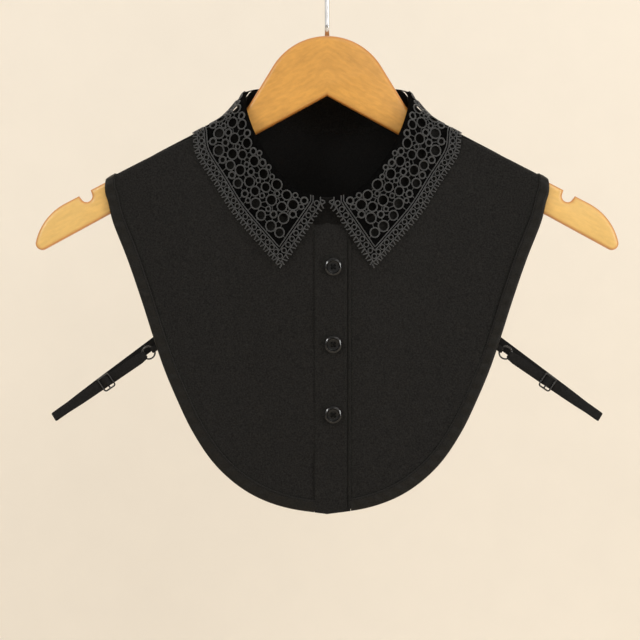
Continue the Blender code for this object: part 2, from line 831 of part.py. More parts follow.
def ring_places():
    """Centres and sizes of the lace rings, larger ones first, in one fixed order."""
    chance = random.Random(11)
    limit = BORDER + 0.5
    front, outer = border(limit, 3.0)
    field = front + outer + [Vector((LENGTHS[-1] - 0.8, FOLD_MARGIN)),
                             Vector((front[0].x, FOLD_MARGIN))]
    trial = []
    for row in range(int(LEAF_RUN / 1.3)):
        for column_index in range(int(LENGTHS[-1] / 1.3) + 6):
            flat = Vector((column_index * 1.3 - 6.0 + chance.random(), row * 1.3 + chance.random()))
            if inside(flat, field):
                trial.append(flat)
    chance.shuffle(trial)
    spots = [(flat, leaf_point(flat) / MM, edge_room(flat, field)) for flat in trial]
    placed = []
    for size in RING_SIZES:
        for flat, point, room in spots:
            if room < size.outer / 2:
                continue
            clear = True
            for other, there, other_size in placed:
                least = size.same_spacing if size is other_size else 0.0
                least = max(least, (size.outer + other_size.outer) / 2 - RING_CORD * 0.3)
                if (point - there).length < least:
                    clear = False
                    break
            if clear:
                placed.append((flat, point, size))
    return placed


def edge_room(flat, field):
    """Distance on the leaf from a flat point to the field's outline."""
    here = leaf_point(flat) / MM
    nearest = 1e9
    for first, second in zip(field, field[1:] + field[:1]):
        along = second - first
        share = max(0.0, min(1.0, (flat - first).dot(along) / max(along.length_squared, 1e-9)))
        near = first + along * share
        if (near - flat).length < 12.0:
            nearest = min(nearest, (leaf_point(near) / MM - here).length)
    return nearest


def lace_outline():
    """Flat outline of one lace leaf, with small scallops along its free edges."""
    front_edge, outer_edge = border(0.0, PICOT_PITCH)
    front_low, outer_low = border(PICOT_DEPTH, PICOT_PITCH)
    outline = [Vector((front_limit(0.0, 0.0), 0.0))]
    outline += scallop(front_edge, front_low)
    outline.append(outer_edge[0])
    outline += scallop(outer_edge, outer_low)
    last = LENGTHS[-1] - CENTRE_GAP / 2
    outline = [Vector((max(p.x, front_limit(p.y, 0.0)), p.y)) for p in outline if p.x < last - 0.5]
    outline.append(Vector((last, LEAF_RUN - 1.0)))
    steps = round(LENGTHS[-1] / 9.0)
    first = outline[0].x
    outline += [Vector((last + (first - last) * i / steps, 0.0)) for i in range(steps)]
    return outline


def scallop(high, low, crest=0.22, deepest=3.0):
    """Points that dip from an edge toward its inner line, between crests at its marks."""
    points = []
    for index in range(len(high) - 1):
        here, after = high[index], high[index + 1]
        dip = low[min(index, len(low) - 1)].lerp(low[min(index + 1, len(low) - 1)], 0.5)
        if index:
            points.append(here.lerp(after, -crest))
            points.append(here.lerp(after, crest))
        middle = here.lerp(after, 0.5)
        points.append(middle + (dip - middle).normalized() * min((dip - middle).length, deepest))
    return points


def length_at(station):
    """Length along the leaf at a station."""
    index = int(station * 10)
    step = LENGTHS[index + 1] - LENGTHS[index]
    return LENGTHS[index] + step * (station * 10 - index)


def leaf_bend(steps=10):
    """Flat lines along the leaf's bend, from near its fold to near its outer edge."""
    lines = []
    for run in bend_runs():
        line = []
        for i in range(1, steps):
            share = i / steps
            low, high = 3.0, 9.0
            for _ in range(20):
                middle = (low + high) / 2
                start = foot(fold_at(middle))[0]
                if start + (column("edge_run", middle) - start) * share > run:
                    low = middle
                else:
                    high = middle
            line.append(Vector((length_at(low), share * LEAF_RUN)))
        lines.append(line)
    return lines


def build_collar(group, cloth, lace):
    """The stand and the two halves of the lace leaf."""
    places = ring_places()
    holes = []
    for flat, _, size in places:
        if size.cut:
            radius = size.outer / 2 - RING_CORD
            ring = [on_leaf(flat, radius * math.cos(math.radians(45 * i)),
                            radius * math.sin(math.radians(45 * i))) for i in range(8)]
            holes.append(ring)
    outline = lace_outline()
    lines = leaf_bend()
    sheet("lace_right", outline, leaf_point, group, lace, holes=holes, spacing=9.0,
          lines=lines, room=GUIDE_ROOM)
    flip = Vector((-1, 1, 1))
    left = [Vector((-p.x, p.y)) for p in reversed(outline)]
    left_holes = [[Vector((-p.x, p.y)) for p in hole] for hole in holes]
    sheet("lace_left", left,
          lambda flat, lift: leaf_point(Vector((-flat.x, flat.y)), lift) * flip,
          group, lace, holes=left_holes, spacing=9.0, room=GUIDE_ROOM,
          lines=[[Vector((-p.x, p.y)) for p in line] for line in lines])

    overlap = PLACKET[0] / STATIONS[1].fold_x
    half = neck_stations(0.0, LAST)
    turns = [overlap] + half + [2 * LAST - turn for turn in reversed(half[:-1])]
    turns = [turn for turn in turns if turn <= 2 * LAST + overlap - 0.2]
    turns.append(2 * LAST + overlap - SEAM / STATIONS[1].fold_x)
    rise = 4
    rings = []
    for turn in turns:
        inner = [stand_point(turn, j / rise) for j in range(rise + 1)]
        outer = [stand_point(turn, j / rise, WALL) for j in range(rise, -1, -1)]
        rings.append(inner + outer)
    swept("collar_stand", rings, group, cloth, True)


def stand_point(turn, share, out=0.0):
    """Face of the stand, from the fold down to the neck seam, all the way round."""
    flip = 1.0
    if turn < 0:
        turn, flip = -turn, -1.0
    elif turn > LAST:
        turn, flip = 2 * LAST - turn, -1.0
    x, y, z = fold_at(turn)
    run, height = foot((x, y, z))
    top = drape(x, run, height + out)
    x, run = seam_at(turn)
    point = top.lerp(drape(x, run, out - WALL), share)
    return Vector((point.x * flip, point.y, point.z))


# Buttons and straps

BUTTON_PROFILE = (              # radius and height
    (0.0, 0.0), (5.2, 0.0), (6.3, 0.5), (BUTTON_RADIUS, 1.3), (6.2, 2.1), (5.5, 2.4),
    (4.7, 1.9), (3.6, 1.4), (0.0, 1.2),
)


def build_buttons(group, material):
    """Three round buttons on the placket."""
    for number, height in enumerate(BUTTON_HEIGHTS, 1):
        name = f"button_{number}"
        mesh = bpy.data.meshes.new(name)
        verts = [(r * MM, 0.0, h * MM) for r, h in reversed(BUTTON_PROFILE)]
        mesh.from_pydata(verts, [(i, i + 1) for i in range(len(verts) - 1)], [])
        thing = put(name, mesh, group, material)
        turn = thing.modifiers.new("Turned", "SCREW")
        turn.steps = 16
        turn.render_steps = 16
        turn.use_merge_vertices = True
        turn.merge_threshold = 0.00001
        turn.use_smooth_shade = True
        face = drape(BUTTON_X, run_at(BUTTON_X, height), PLACKET_LIFT)
        above = drape(BUTTON_X, run_at(BUTTON_X, height + BUTTON_RADIUS), PLACKET_LIFT)
        tilt = math.atan2(above.y - face.y, above.z - face.z)
        thing.rotation_euler = (math.pi / 2 - tilt, 0.0, 0.0)
        thing.location = face + Vector((0.0, -SEAM * MM, 0.0))


def strap_frame(share):
    """Directions at a share of the way to the strap's end: along, across and to the back."""
    along = (Vector(STRAP_END) - Vector(RING_CENTRE)).normalized()
    flat = Vector((along.x, 0.0, along.z)).normalized()
    level = Vector((-flat.z, 0.0, flat.x))
    turn = STRAP_TWIST * max(0.0, (share - TWIST_FROM) / (1.0 - TWIST_FROM)) ** 1.5
    back = Vector((0.0, 1.0, 0.0))
    across = level * math.cos(turn) + back * math.sin(turn)
    return along, across, back * math.cos(turn) - level * math.sin(turn)


def strap_point(distance, depth):
    """Point on the strap's line at a distance from the ring and a depth behind its middle."""
    start, end = Vector(RING_CENTRE), Vector(STRAP_END)
    share = distance / (end - start).length
    _, across, back = strap_frame(share)
    return start.lerp(end, share) + back * depth, across


def ribbon(name, stations, side, group, material):
    """A flat ribbon through points with their own width directions and widths."""
    rings = []
    for index, (point, across, width) in enumerate(stations):
        ahead = stations[min(index + 1, len(stations) - 1)][0]
        behind = stations[max(index - 1, 0)][0]
        face = (ahead - behind).normalized().cross(across).normalized()
        ring = []
        for wide, deep in ((-0.5, -0.5), (0.5, -0.5), (0.5, 0.5), (-0.5, 0.5)):
            at = point + across * wide * width + face * deep * STRAP_WALL
            ring.append(Vector((at.x * side, at.y, at.z)) * MM)
        rings.append(ring)
    swept(name, rings, group, material, True)


def along_strap(places):
    """Ribbon stations at the places of a layer, narrower near the ring."""
    stations = []
    for distance, depth in places:
        point, across = strap_point(distance, depth)
        wide = min(1.0, max(0.0, (abs(distance) - NARROW_TO) / (WIDE_FROM - NARROW_TO)))
        width = STRAP_AT_RING + (STRAP_WIDTH - STRAP_AT_RING) * wide
        stations.append((point, across, width))
    return stations


def round_ring(side, steps=8):
    """Places of a ribbon that turns round the ring's wire: in front, through it, and behind."""
    places = []
    for step in range(steps + 1):
        turn = math.pi * step / steps
        distance = STRAP_RING_RADIUS - STRAP_WALL / 2 - RING_BEND * math.sin(turn)
        places.append(Layer(side * distance, -RING_BEND * math.cos(turn)))
    return places


def strap_stations():
    """The elastic from the back panel out to its fold and back to the slider and ring."""
    length = (Vector(STRAP_END) - Vector(RING_CENTRE)).length
    turn_at = length - STRAP_WALL
    end = strap_point(turn_at, FOLD_BEND)[0]
    start = Vector(STRAP_BACK)
    stations = [(start.lerp(end, step / 9), strap_frame(step / 9)[1], STRAP_WIDTH)
                for step in range(9)]
    fold = []
    for step in range(5):
        turn = math.pi * step / 4
        fold.append(Layer(turn_at + FOLD_BEND * math.sin(turn), FOLD_BEND * math.cos(turn)))
    layers = [*fold, *FRONT_LAYER, *round_ring(1.0), *RETURN_LAYER]
    return stations + along_strap(layers)


def build_straps(group, elastic, metal):
    """On each side the elastic with its slider, the ring and the tab that holds the ring."""
    tab = [*TAB_ENDS, *round_ring(-1.0)]
    tab += [Layer(end.distance, -end.depth) for end in reversed(TAB_ENDS)]
    for label, side in (("right", 1.0), ("left", -1.0)):
        ribbon(f"strap_{label}", strap_stations(), side, group, elastic)
        narrow = [(point, across, STRAP_AT_RING) for point, across, _ in along_strap(tab)]
        ribbon(f"strap_tab_{label}", narrow, side, group, elastic)
        bpy.ops.mesh.primitive_torus_add(
            major_radius=STRAP_RING_RADIUS * MM, minor_radius=STRAP_RING_WIRE * MM,
            major_segments=16, minor_segments=6)
        ring = bpy.context.object
        ring.name = f"strap_ring_{label}"
        ring.data.materials.append(metal)
        ring.data.shade_smooth()
        move(ring, group)
        ring.matrix_world = strap_matrix(0.0, side)

        slider = put(f"strap_slider_{label}", slider_curve(f"strap_slider_{label}"),
                     group, metal, False)
        slider.matrix_world = strap_matrix(SLIDER_AT, side, SLIDER_SHIFT)


def strap_matrix(distance, side, shift=0.0):
    """Placing for a flat piece that lies in the strap's plane, its face to the front."""
    point, across = strap_point(distance, 0.0)
    along = (Vector(STRAP_END) - Vector(RING_CENTRE)).normalized()
    point = point + across * shift
    point, along, across = [Vector((v.x * side, v.y, v.z)) for v in (point, along, across)]
    front = along.cross(across)
    axes = Matrix((along, across, front)).transposed().to_4x4()
    return Matrix.Translation(point * MM) @ axes


def slider_curve(name):
    """A flat slider with two slots and a bar between them."""
    curve = bpy.data.curves.new(name, "CURVE")
    curve.dimensions = "2D"
    curve.fill_mode = "BOTH"
    curve.extrude = SLIDER_THICK / 2 * MM
    half = SLIDER_BAR * 1.5 + SLIDER_SLOT
    tall = SLIDER_HIGH / 2
    plate(curve, -half, half, tall, 1.6)
    inner = tall - SLIDER_BAR
    for side in (-1, 1):
        near, far = SLIDER_BAR / 2, SLIDER_BAR / 2 + SLIDER_SLOT
        low, high = sorted((near * side, far * side))
        plate(curve, low, high, inner, 0.3)
    return curve


def plate(curve, low, high, tall, corner):
    """A rectangle with cut corners as a closed line of a 2D curve."""
    points = ((low + corner, -tall), (high - corner, -tall), (high, -tall + corner),
              (high, tall - corner), (high - corner, tall), (low + corner, tall),
              (low, tall - corner), (low, -tall + corner))
    line = curve.splines.new("POLY")
    line.points.add(len(points) - 1)
    for point, (x, y) in zip(line.points, points):
        point.co = (x * MM, y * MM, 0.0, 1.0)
    line.use_cyclic_u = True


def move(thing, group):
    """Keep an object in one collection only."""
    for other in list(thing.users_collection):
        other.objects.unlink(thing)
    group.objects.link(thing)


LENGTHS = station_runs()


def main():
    """Build the whole part."""
    clear_scene()
    group = collection("lace_collar_on_hanger")
    wood = finish("wood", (0.62, 0.33, 0.09), 0.45)
    chrome = finish("chrome", (0.72, 0.72, 0.72), 0.15, 1.0)
    cloth = finish("panel_cloth", (0.016, 0.016, 0.015), 0.85)
    satin = finish("binding", (0.02, 0.018, 0.013), 0.6)
    lace = finish("lace", (0.014, 0.014, 0.014), 0.7)
    elastic = finish("elastic", (0.02, 0.018, 0.016), 0.75)
    metal = finish("black_metal", (0.02, 0.02, 0.02), 0.3, 0.6)
    plastic = finish("button", (0.015, 0.015, 0.015), 0.2)
    build_hanger(group, wood, chrome)
    build_panels(group, cloth)
    build_bindings(group, satin)
    build_collar(group, cloth, lace)
    build_buttons(group, plastic)
    build_straps(group, elastic, metal)


if __name__ == "__main__":
    main()
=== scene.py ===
"""Looks of a lace collar on a clothes hanger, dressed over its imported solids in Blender 4.5.

Lengths in the tables are millimetres and MM turns them into metres. The garment's front
faces -Y, and every cloth piece is drawn flat as (x, run over the shoulder) and then draped.
"""
import logging
import math
import random
from dataclasses import dataclass, field
from enum import Enum
from typing import Callable, NamedTuple, Sequence

import bmesh
import bpy
from mathutils import Matrix, Vector
from mathutils.geometry import delaunay_2d_cdt
from mathutils.kdtree import KDTree


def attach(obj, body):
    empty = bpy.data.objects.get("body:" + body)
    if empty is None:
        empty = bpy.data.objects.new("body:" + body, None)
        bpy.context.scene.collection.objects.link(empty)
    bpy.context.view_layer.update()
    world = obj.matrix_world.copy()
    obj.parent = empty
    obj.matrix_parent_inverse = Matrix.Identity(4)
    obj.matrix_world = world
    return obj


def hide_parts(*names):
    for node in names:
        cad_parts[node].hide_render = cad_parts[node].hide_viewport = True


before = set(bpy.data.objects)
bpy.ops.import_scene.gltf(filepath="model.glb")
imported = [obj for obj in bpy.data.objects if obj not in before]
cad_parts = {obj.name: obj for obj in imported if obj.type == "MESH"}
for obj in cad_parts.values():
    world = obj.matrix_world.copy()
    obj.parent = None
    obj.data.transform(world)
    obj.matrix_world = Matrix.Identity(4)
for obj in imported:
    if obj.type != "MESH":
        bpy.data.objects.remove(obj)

LOG = logging.getLogger("lace_collar")
MM = 0.001
SEAM = 0.3
WALL = 1.2
Place = Callable[[Vector, float], Vector]


class Side(Enum):
    """The side of the garment as the photo shows it."""

    LEFT = -1
    RIGHT = 1


class Hold(Enum):
    """How a sheet of cloth is held."""

    HUNG = "hung"
    DRAPED = "draped"


class Pattern(Enum):
    """The coordinates that a weave or a thread follows."""

    CLOTH = "Cloth"
    THREAD = "Thread"


# Flat drawing


def hermite(start: Vector, end: Vector, leave: Vector, arrive: Vector, t: float) -> Vector:
    """Cubic Hermite value between two points or numbers."""
    square, cube = t * t, t * t * t
    first = start * (2 * cube - 3 * square + 1) + leave * (cube - 2 * square + t)
    return first + end * (3 * square - 2 * cube) + arrive * (cube - square)


def smooth_path(points: Sequence, steps: int) -> list[Vector]:
    """Catmull-Rom path through points.

    Args:
        points: The points it passes through.
        steps: Steps in each span.

    Returns:
        The path's points, both ends included.
    """
    rows = [2 * Vector(points[0]) - Vector(points[1])] + [Vector(p) for p in points]
    rows.append(2 * rows[-1] - rows[-2])
    path = []
    for index in range(1, len(rows) - 2):
        before, start, end, after = rows[index - 1:index + 3]
        for step in range(steps):
            path.append(hermite(start, end, (end - before) / 2, (after - start) / 2,
                                step / steps))
    path.append(rows[-2])
    return path


def inset(path: list[Vector], distance: float) -> list[Vector]:
    """Path moved sideways, to the left of its direction when distance is positive."""
    moved = []
    for index, point in enumerate(path):
        ahead = path[min(index + 1, len(path) - 1)]
        behind = path[max(index - 1, 0)]
        along = (ahead - behind).normalized()
        moved.append(point + Vector((-along.y, along.x)) * distance)
    return moved


def clip(path: list[Vector], keep: Callable[[Vector], float]) -> list[Vector]:
    """The stretch of a path where keep is positive, cut where it changes sign."""
    kept = []
    for here, after in zip(path, path[1:]):
        now, then = keep(here), keep(after)
        if now >= 0:
            kept.append(here)
        if now * then < 0:
            kept.append(here.lerp(after, now / (now - then)))
    if keep(path[-1]) >= 0:
        kept.append(path[-1])
    return kept


def respace(path: list[Vector], step: float) -> list[Vector]:
    """Path with points about a step apart, both ends kept."""
    kept = [path[0]]
    for point in path[1:-1]:
        if (point - kept[-1]).length >= step and (point - path[-1]).length >= step * 0.6:
            kept.append(point)
    kept.append(path[-1])
    return kept


def inside(point: Vector, loop: list[Vector]) -> bool:
    """True where the point lies inside a closed loop."""
    hit = False
    for first, second in zip(loop, loop[1:] + loop[:1]):
        if (first.y > point.y) != (second.y > point.y):
            cross = (second.x - first.x) * (point.y - first.y) / (second.y - first.y) + first.x
            if point.x < cross:
                hit = not hit
    return hit


def distance_to(point: Vector, loop: list[Vector]) -> float:
    """Distance from the point to the nearest side of a loop."""
    nearest = 1e9
    for first, second in zip(loop, loop[1:] + loop[:1]):
        along = second - first
        share = max(0.0, min(1.0, (point - first).dot(along) / max(along.length_squared, 1e-9)))
        nearest = min(nearest, (point - first - along * share).length)
    return nearest


def flat_area(loop: list[Vector]) -> float:
    """Area that a closed loop encloses."""
    pairs = zip(loop, loop[1:] + loop[:1])
    return abs(sum(a.x * b.y - b.x * a.y for a, b in pairs)) / 2


# Node helpers and shared effects


class Graph:
    """Short typed helper over a shader node tree."""

    def __init__(self, tree: bpy.types.NodeTree) -> None:
        """Keep the tree that nodes are added to."""
        self.tree = tree

    def add(self, kind: str, **settings: object) -> bpy.types.Node:
        """Add a node of a kind and set its attributes."""
        node = self.tree.nodes.new(kind)
        for key, value in settings.items():
            setattr(node, key, value)
        return node

    def feed(self, socket: bpy.types.NodeSocket, value: object) -> None:
        """Link an output, or set a plain value."""
        if isinstance(value, bpy.types.NodeSocket):
            self.tree.links.new(value, socket)
        else:
            socket.default_value = value

    def math(self, operation: str, *values: object) -> bpy.types.NodeSocket:
        """A Math node's result for one to three values or sockets."""
        node = self.add("ShaderNodeMath", operation=operation)
        for socket, value in zip(node.inputs, values):
            self.feed(socket, value)
        return node.outputs[0]

    def mix(self, factor: object, first: object, second: object) -> bpy.types.NodeSocket:
        """Mix two colours by a factor."""
        node = self.add("ShaderNodeMix", data_type="RGBA")
        for index, value in ((0, factor), (6, first), (7, second)):
            self.feed(node.inputs[index], value)
        return node.outputs[2]

    def span(self, value: object, low: float, high: float, out_low: float,
             out_high: float) -> bpy.types.NodeSocket:
        """Map a value from one range to another, clamped."""
        node = self.add("ShaderNodeMapRange")
        for socket, item in zip(node.inputs, (value, low, high, out_low, out_high)):
            self.feed(socket, item)
        return node.outputs[0]

    def noise(self, vector: object, scale: object, detail: float = 2.0) -> bpy.types.NodeSocket:
        """A noise texture's value."""
        node = self.add("ShaderNodeTexNoise")
        self.feed(node.inputs["Vector"], vector)
        self.feed(node.inputs["Scale"], scale)
        node.inputs["Detail"].default_value = detail
        return node.outputs[0]


class Effect:
    """A shared node group, built once."""

    built: dict[str, bpy.types.NodeTree] = {}

    @staticmethod
    def group(name: str, inputs: dict[str, object], outputs: Sequence[str],
              fill: Callable[[Graph, dict, dict], None]) -> bpy.types.NodeTree:
        """Return the named group, making it on first use.

        Args:
            name: The group's name.
            inputs: Input names with a float default, or None for a vector.
            outputs: Names of float outputs.
            fill: Called with the graph, input sockets and output sockets.

        Returns:
            The node group.
        """
        if name in Effect.built:
            return Effect.built[name]
        tree = bpy.data.node_groups.new(name, "ShaderNodeTree")
        for label, value in inputs.items():
            kind = "NodeSocketVector" if value is None else "NodeSocketFloat"
            socket = tree.interface.new_socket(name=label, in_out="INPUT", socket_type=kind)
            if value is not None:
                socket.default_value = value
        for label in outputs:
            tree.interface.new_socket(name=label, in_out="OUTPUT", socket_type="NodeSocketFloat")
        graph = Graph(tree)
        entry = graph.add("NodeGroupInput")
        leave = graph.add("NodeGroupOutput")
        fill(graph, entry.outputs, leave.inputs)
        Effect.built[name] = tree
        return tree

    @staticmethod
    def use(graph: Graph, tree: bpy.types.NodeTree, **values: object) -> bpy.types.Node:
        """Place a group in a material with its own values."""
        node = graph.add("ShaderNodeGroup", node_tree=tree)
        for label, value in values.items():
            graph.feed(node.inputs[label], value)
        return node


def weave_effect() -> bpy.types.NodeTree:
    """Plain weave: warp and weft threads that pass over each other in turn."""

    def fill(graph: Graph, entry: dict, leave: dict) -> None:
        parts = graph.add("ShaderNodeSeparateXYZ")
        graph.feed(parts.inputs[0], entry["Vector"])
        waves = []
        for axis, pitch in ((0, "Warp"), (1, "Weft")):
            turn = graph.math("MULTIPLY", parts.outputs[axis], entry[pitch])
            waves.append(graph.math("SINE", graph.math("MULTIPLY", turn, math.pi)))
        over = graph.math("GREATER_THAN", graph.math("MULTIPLY", waves[0], waves[1]), 0.0)
        warp, weft = (graph.math("ABSOLUTE", wave) for wave in waves)
        under = graph.math("SUBTRACT", 1.0, over)
        threads = graph.math("ADD", graph.math("MULTIPLY", over, warp),
                             graph.math("MULTIPLY", under, weft))
        slub = graph.noise(entry["Vector"], entry["Slub"], 3.0)
        height = graph.math("MULTIPLY", threads, graph.span(slub, 0.3, 0.7, 0.65, 1.0))
        graph.feed(leave["Height"], height)
        graph.feed(leave["Shade"], graph.math("POWER", height, 0.6))

    inputs = {"Vector": None, "Warp": 2200.0, "Weft": 2200.0, "Slub": 900.0}
    return Effect.group("plain_weave", inputs, ("Height", "Shade"), fill)


def twist_effect() -> bpy.types.NodeTree:
    """Threads wound slantwise round a cord, from its length and its turn."""

    def fill(graph: Graph, entry: dict, leave: dict) -> None:
        parts = graph.add("ShaderNodeSeparateXYZ")
        graph.feed(parts.inputs[0], entry["Vector"])
        along = graph.math("MULTIPLY", parts.outputs[0], entry["Turns"])
        lean = graph.math("MULTIPLY", parts.outputs[1], entry["Lean"])
        turn = graph.math("MULTIPLY", graph.math("ADD", along, lean), 2 * math.pi)
        wave = graph.math("ABSOLUTE", graph.math("SINE", turn))
        graph.feed(leave["Height"], wave)

    return Effect.group("wound_thread", {"Vector": None, "Turns": 1500.0, "Lean": 1.0},
                        ("Height",), fill)


def mottle_effect() -> bpy.types.NodeTree:
    """Broad and fine unevenness of a surface, centred on a half."""

    def fill(graph: Graph, entry: dict, leave: dict) -> None:
        broad = graph.noise(entry["Vector"], entry["Broad"], 2.0)
        fine = graph.noise(entry["Vector"], entry["Fine"], 4.0)
        share = graph.math("ADD", graph.math("MULTIPLY", broad, 0.6),
                           graph.math("MULTIPLY", fine, 0.4))
        graph.feed(leave["Factor"], graph.span(share, 0.35, 0.65, 0.0, 1.0))

    return Effect.group("mottle", {"Vector": None, "Broad": 18.0, "Fine": 260.0},
                        ("Factor",), fill)


def grain_effect() -> bpy.types.NodeTree:
    """Wood grain that runs along each arm of the hanger, mirrored at its middle."""

    def fill(graph: Graph, entry: dict, leave: dict) -> None:
        parts = graph.add("ShaderNodeSeparateXYZ")
        graph.feed(parts.inputs[0], entry["Vector"])
        x = graph.math("ABSOLUTE", parts.outputs[0])
        slope = entry["Slope"]
        along = graph.math("SUBTRACT", graph.math("MULTIPLY", x, graph.math("COSINE", slope)),
                           graph.math("MULTIPLY", parts.outputs[2], graph.math("SINE", slope)))
        across = graph.math("ADD", graph.math("MULTIPLY", x, graph.math("SINE", slope)),
                            graph.math("MULTIPLY", parts.outputs[2],
                                       graph.math("COSINE", slope)))
        joined = graph.add("ShaderNodeCombineXYZ")
        graph.feed(joined.inputs[0], graph.math("MULTIPLY", along, 22.0))
        graph.feed(joined.inputs[1], graph.math("MULTIPLY", across, 75.0))
        graph.feed(joined.inputs[2], graph.math("MULTIPLY", parts.outputs[1], 60.0))
        rings = graph.noise(joined.outputs[0], 1.2, 4.0)
        fibres = graph.noise(joined.outputs[0], 6.0, 4.0)
        graph.feed(leave["Rings"], graph.span(rings, 0.3, 0.7, 0.0, 1.0))
        graph.feed(leave["Fibres"], graph.span(fibres, 0.35, 0.65, 0.0, 1.0))

    return Effect.group("wood_grain", {"Vector": None, "Slope": 0.48}, ("Rings", "Fibres"), fill)


# Finishes

Color = tuple[float, float, float]


@dataclass(frozen=True)
class Finish:
    """What every finish has: a name, a base colour and a roughness."""

    name: str
    color: Color
    roughness: float

    def start(self) -> tuple[bpy.types.Material, Graph, bpy.types.Node]:
        """A new material with its graph and its Principled shader."""
        material = bpy.data.materials.new(self.name)
        material.use_nodes = True
        shader = material.node_tree.nodes["Principled BSDF"]
        shader.inputs["Base Color"].default_value = (*self.color, 1.0)
        shader.inputs["Roughness"].default_value = self.roughness
        return material, Graph(material.node_tree), shader

    def shaded(self, graph: Graph, factor: object, dark: float, light: float) -> object:
        """The base colour between a darker and a lighter share of itself."""
        low = (*[channel * dark for channel in self.color], 1.0)
        high = (*[min(1.0, channel * light) for channel in self.color], 1.0)
        return graph.mix(factor, low, high)


@dataclass(frozen=True)
class Cloth(Finish):
    """Woven cloth with a fuzzy sheen."""

    threads: float = 2200.0
    depth: float = 0.00012
    sheen: float = 0.05
    contrast: float = 0.2
    gloss: float = 0.12
    painted_inside_shade: float = 1.0

    def make(self) -> bpy.types.Material:
        """Build the material."""
        material, graph, shader = self.start()
        pattern = graph.add("ShaderNodeUVMap", uv_map=Pattern.CLOTH.value).outputs[0]
        weave = Effect.use(graph, weave_effect(), Vector=pattern, Warp=self.threads,
                           Weft=self.threads * 0.85, Slub=self.threads * 0.35)
        spot = graph.add("ShaderNodeTexCoord").outputs["Object"]
        mottle = Effect.use(graph, mottle_effect(), Vector=spot, Broad=850.0, Fine=1600.0)
        share = graph.math("ADD", graph.math("MULTIPLY", weave.outputs["Shade"], self.contrast),
                           graph.math("MULTIPLY", mottle.outputs["Factor"],
                                      1.0 - self.contrast))
        # Faces whose normal points to the front (-Y) are darkened by this share: painted shade on the
        # inner side of the back panel, seen through the neck.
        ways = graph.add("ShaderNodeSeparateXYZ")
        graph.feed(ways.inputs[0], graph.add("ShaderNodeNewGeometry").outputs["Normal"])
        shade = graph.span(ways.outputs[1], -0.4, 0.4, self.painted_inside_shade, 1.0)
        share = graph.math("MULTIPLY", share, shade)
        graph.feed(shader.inputs["Base Color"], self.shaded(graph, share, 0.0, 2.4))
        graph.feed(shader.inputs["Roughness"], graph.span(mottle.outputs["Factor"], 0.0, 1.0,
                                                          self.roughness - 0.06,
                                                          self.roughness + 0.06))
        shader.inputs["Specular IOR Level"].default_value = self.gloss
        shader.inputs["Sheen Weight"].default_value = self.sheen
        shader.inputs["Sheen Roughness"].default_value = 0.45
        shader.inputs["Sheen Tint"].default_value = (1.0, 0.97, 0.92, 1.0)
        bump = graph.add("ShaderNodeBump")
        bump.inputs["Strength"].default_value = 0.6
        bump.inputs["Distance"].default_value = self.depth
        graph.feed(bump.inputs["Height"], weave.outputs["Height"])
        graph.feed(shader.inputs["Normal"], bump.outputs[0])
        return material


@dataclass(frozen=True)
class Elastic(Finish):
    """Ribbed elastic tape, darker in its rib troughs and along its edges."""

    width: float = 0.008
    rib: float = 0.0008

    def make(self) -> bpy.types.Material:
        """Build the material."""
        material, graph, shader = self.start()
        pattern = graph.add("ShaderNodeUVMap", uv_map=Pattern.CLOTH.value).outputs[0]
        parts = graph.add("ShaderNodeSeparateXYZ")
        graph.feed(parts.inputs[0], pattern)
        waves = []
        for axis, pitch in ((0, self.rib), (1, self.width)):
            turn = graph.math("MULTIPLY", parts.outputs[axis], math.pi / pitch)
            waves.append(graph.math("ABSOLUTE", graph.math("SINE", turn)))
        spot = graph.add("ShaderNodeTexCoord").outputs["Object"]
        mottle = Effect.use(graph, mottle_effect(), Vector=spot, Broad=700.0, Fine=1600.0)
        # Colour follows the ribs, with painted shade in their troughs, and darkens along both edges
        # of the tape.
        share = graph.math("ADD", graph.math("MULTIPLY", waves[0], 0.55),
                           graph.math("MULTIPLY", mottle.outputs["Factor"], 0.45))
        share = graph.math("MULTIPLY", share, graph.span(waves[1], 0.15, 0.6, 0.1, 1.0))
        graph.feed(shader.inputs["Base Color"], self.shaded(graph, share, 0.25, 2.1))
        shader.inputs["Specular IOR Level"].default_value = 0.08
        bump = graph.add("ShaderNodeBump")
        bump.inputs["Strength"].default_value = 0.6
        bump.inputs["Distance"].default_value = 0.0001
        graph.feed(bump.inputs["Height"], waves[0])
        graph.feed(shader.inputs["Normal"], bump.outputs[0])
        return material


@dataclass(frozen=True)
class Thread(Finish):
    """Embroidery or sewing thread wound round a cord."""

    turns: float = 1500.0
    lean: float = 1.0
    gloss: float = 0.5

    def make(self) -> bpy.types.Material:
        """Build the material."""
        material, graph, shader = self.start()
        pattern = graph.add("ShaderNodeUVMap", uv_map=Pattern.THREAD.value).outputs[0]
        twist = Effect.use(graph, twist_effect(), Vector=pattern, Turns=self.turns,
                           Lean=self.lean)
        spot = graph.add("ShaderNodeTexCoord").outputs["Object"]
        mottle = Effect.use(graph, mottle_effect(), Vector=spot, Broad=60.0, Fine=900.0)
        # The colour follows the wound turns' height: painted shade between the turns, mixed with
        # random mottle.
        share = graph.math("ADD", graph.math("MULTIPLY", twist.outputs["Height"], 0.6),
                           graph.math("MULTIPLY", mottle.outputs["Factor"], 0.4))
        graph.feed(shader.inputs["Base Color"], self.shaded(graph, share, 0.5, 1.5))
        shader.inputs["Specular IOR Level"].default_value = self.gloss
        shader.inputs["Sheen Weight"].default_value = self.gloss / 2
        shader.inputs["Sheen Roughness"].default_value = 0.4
        bump = graph.add("ShaderNodeBump")
        bump.inputs["Strength"].default_value = 0.7
        bump.inputs["Distance"].default_value = 0.0001
        graph.feed(bump.inputs["Height"], twist.outputs["Height"])
        graph.feed(shader.inputs["Normal"], bump.outputs[0])
        return material


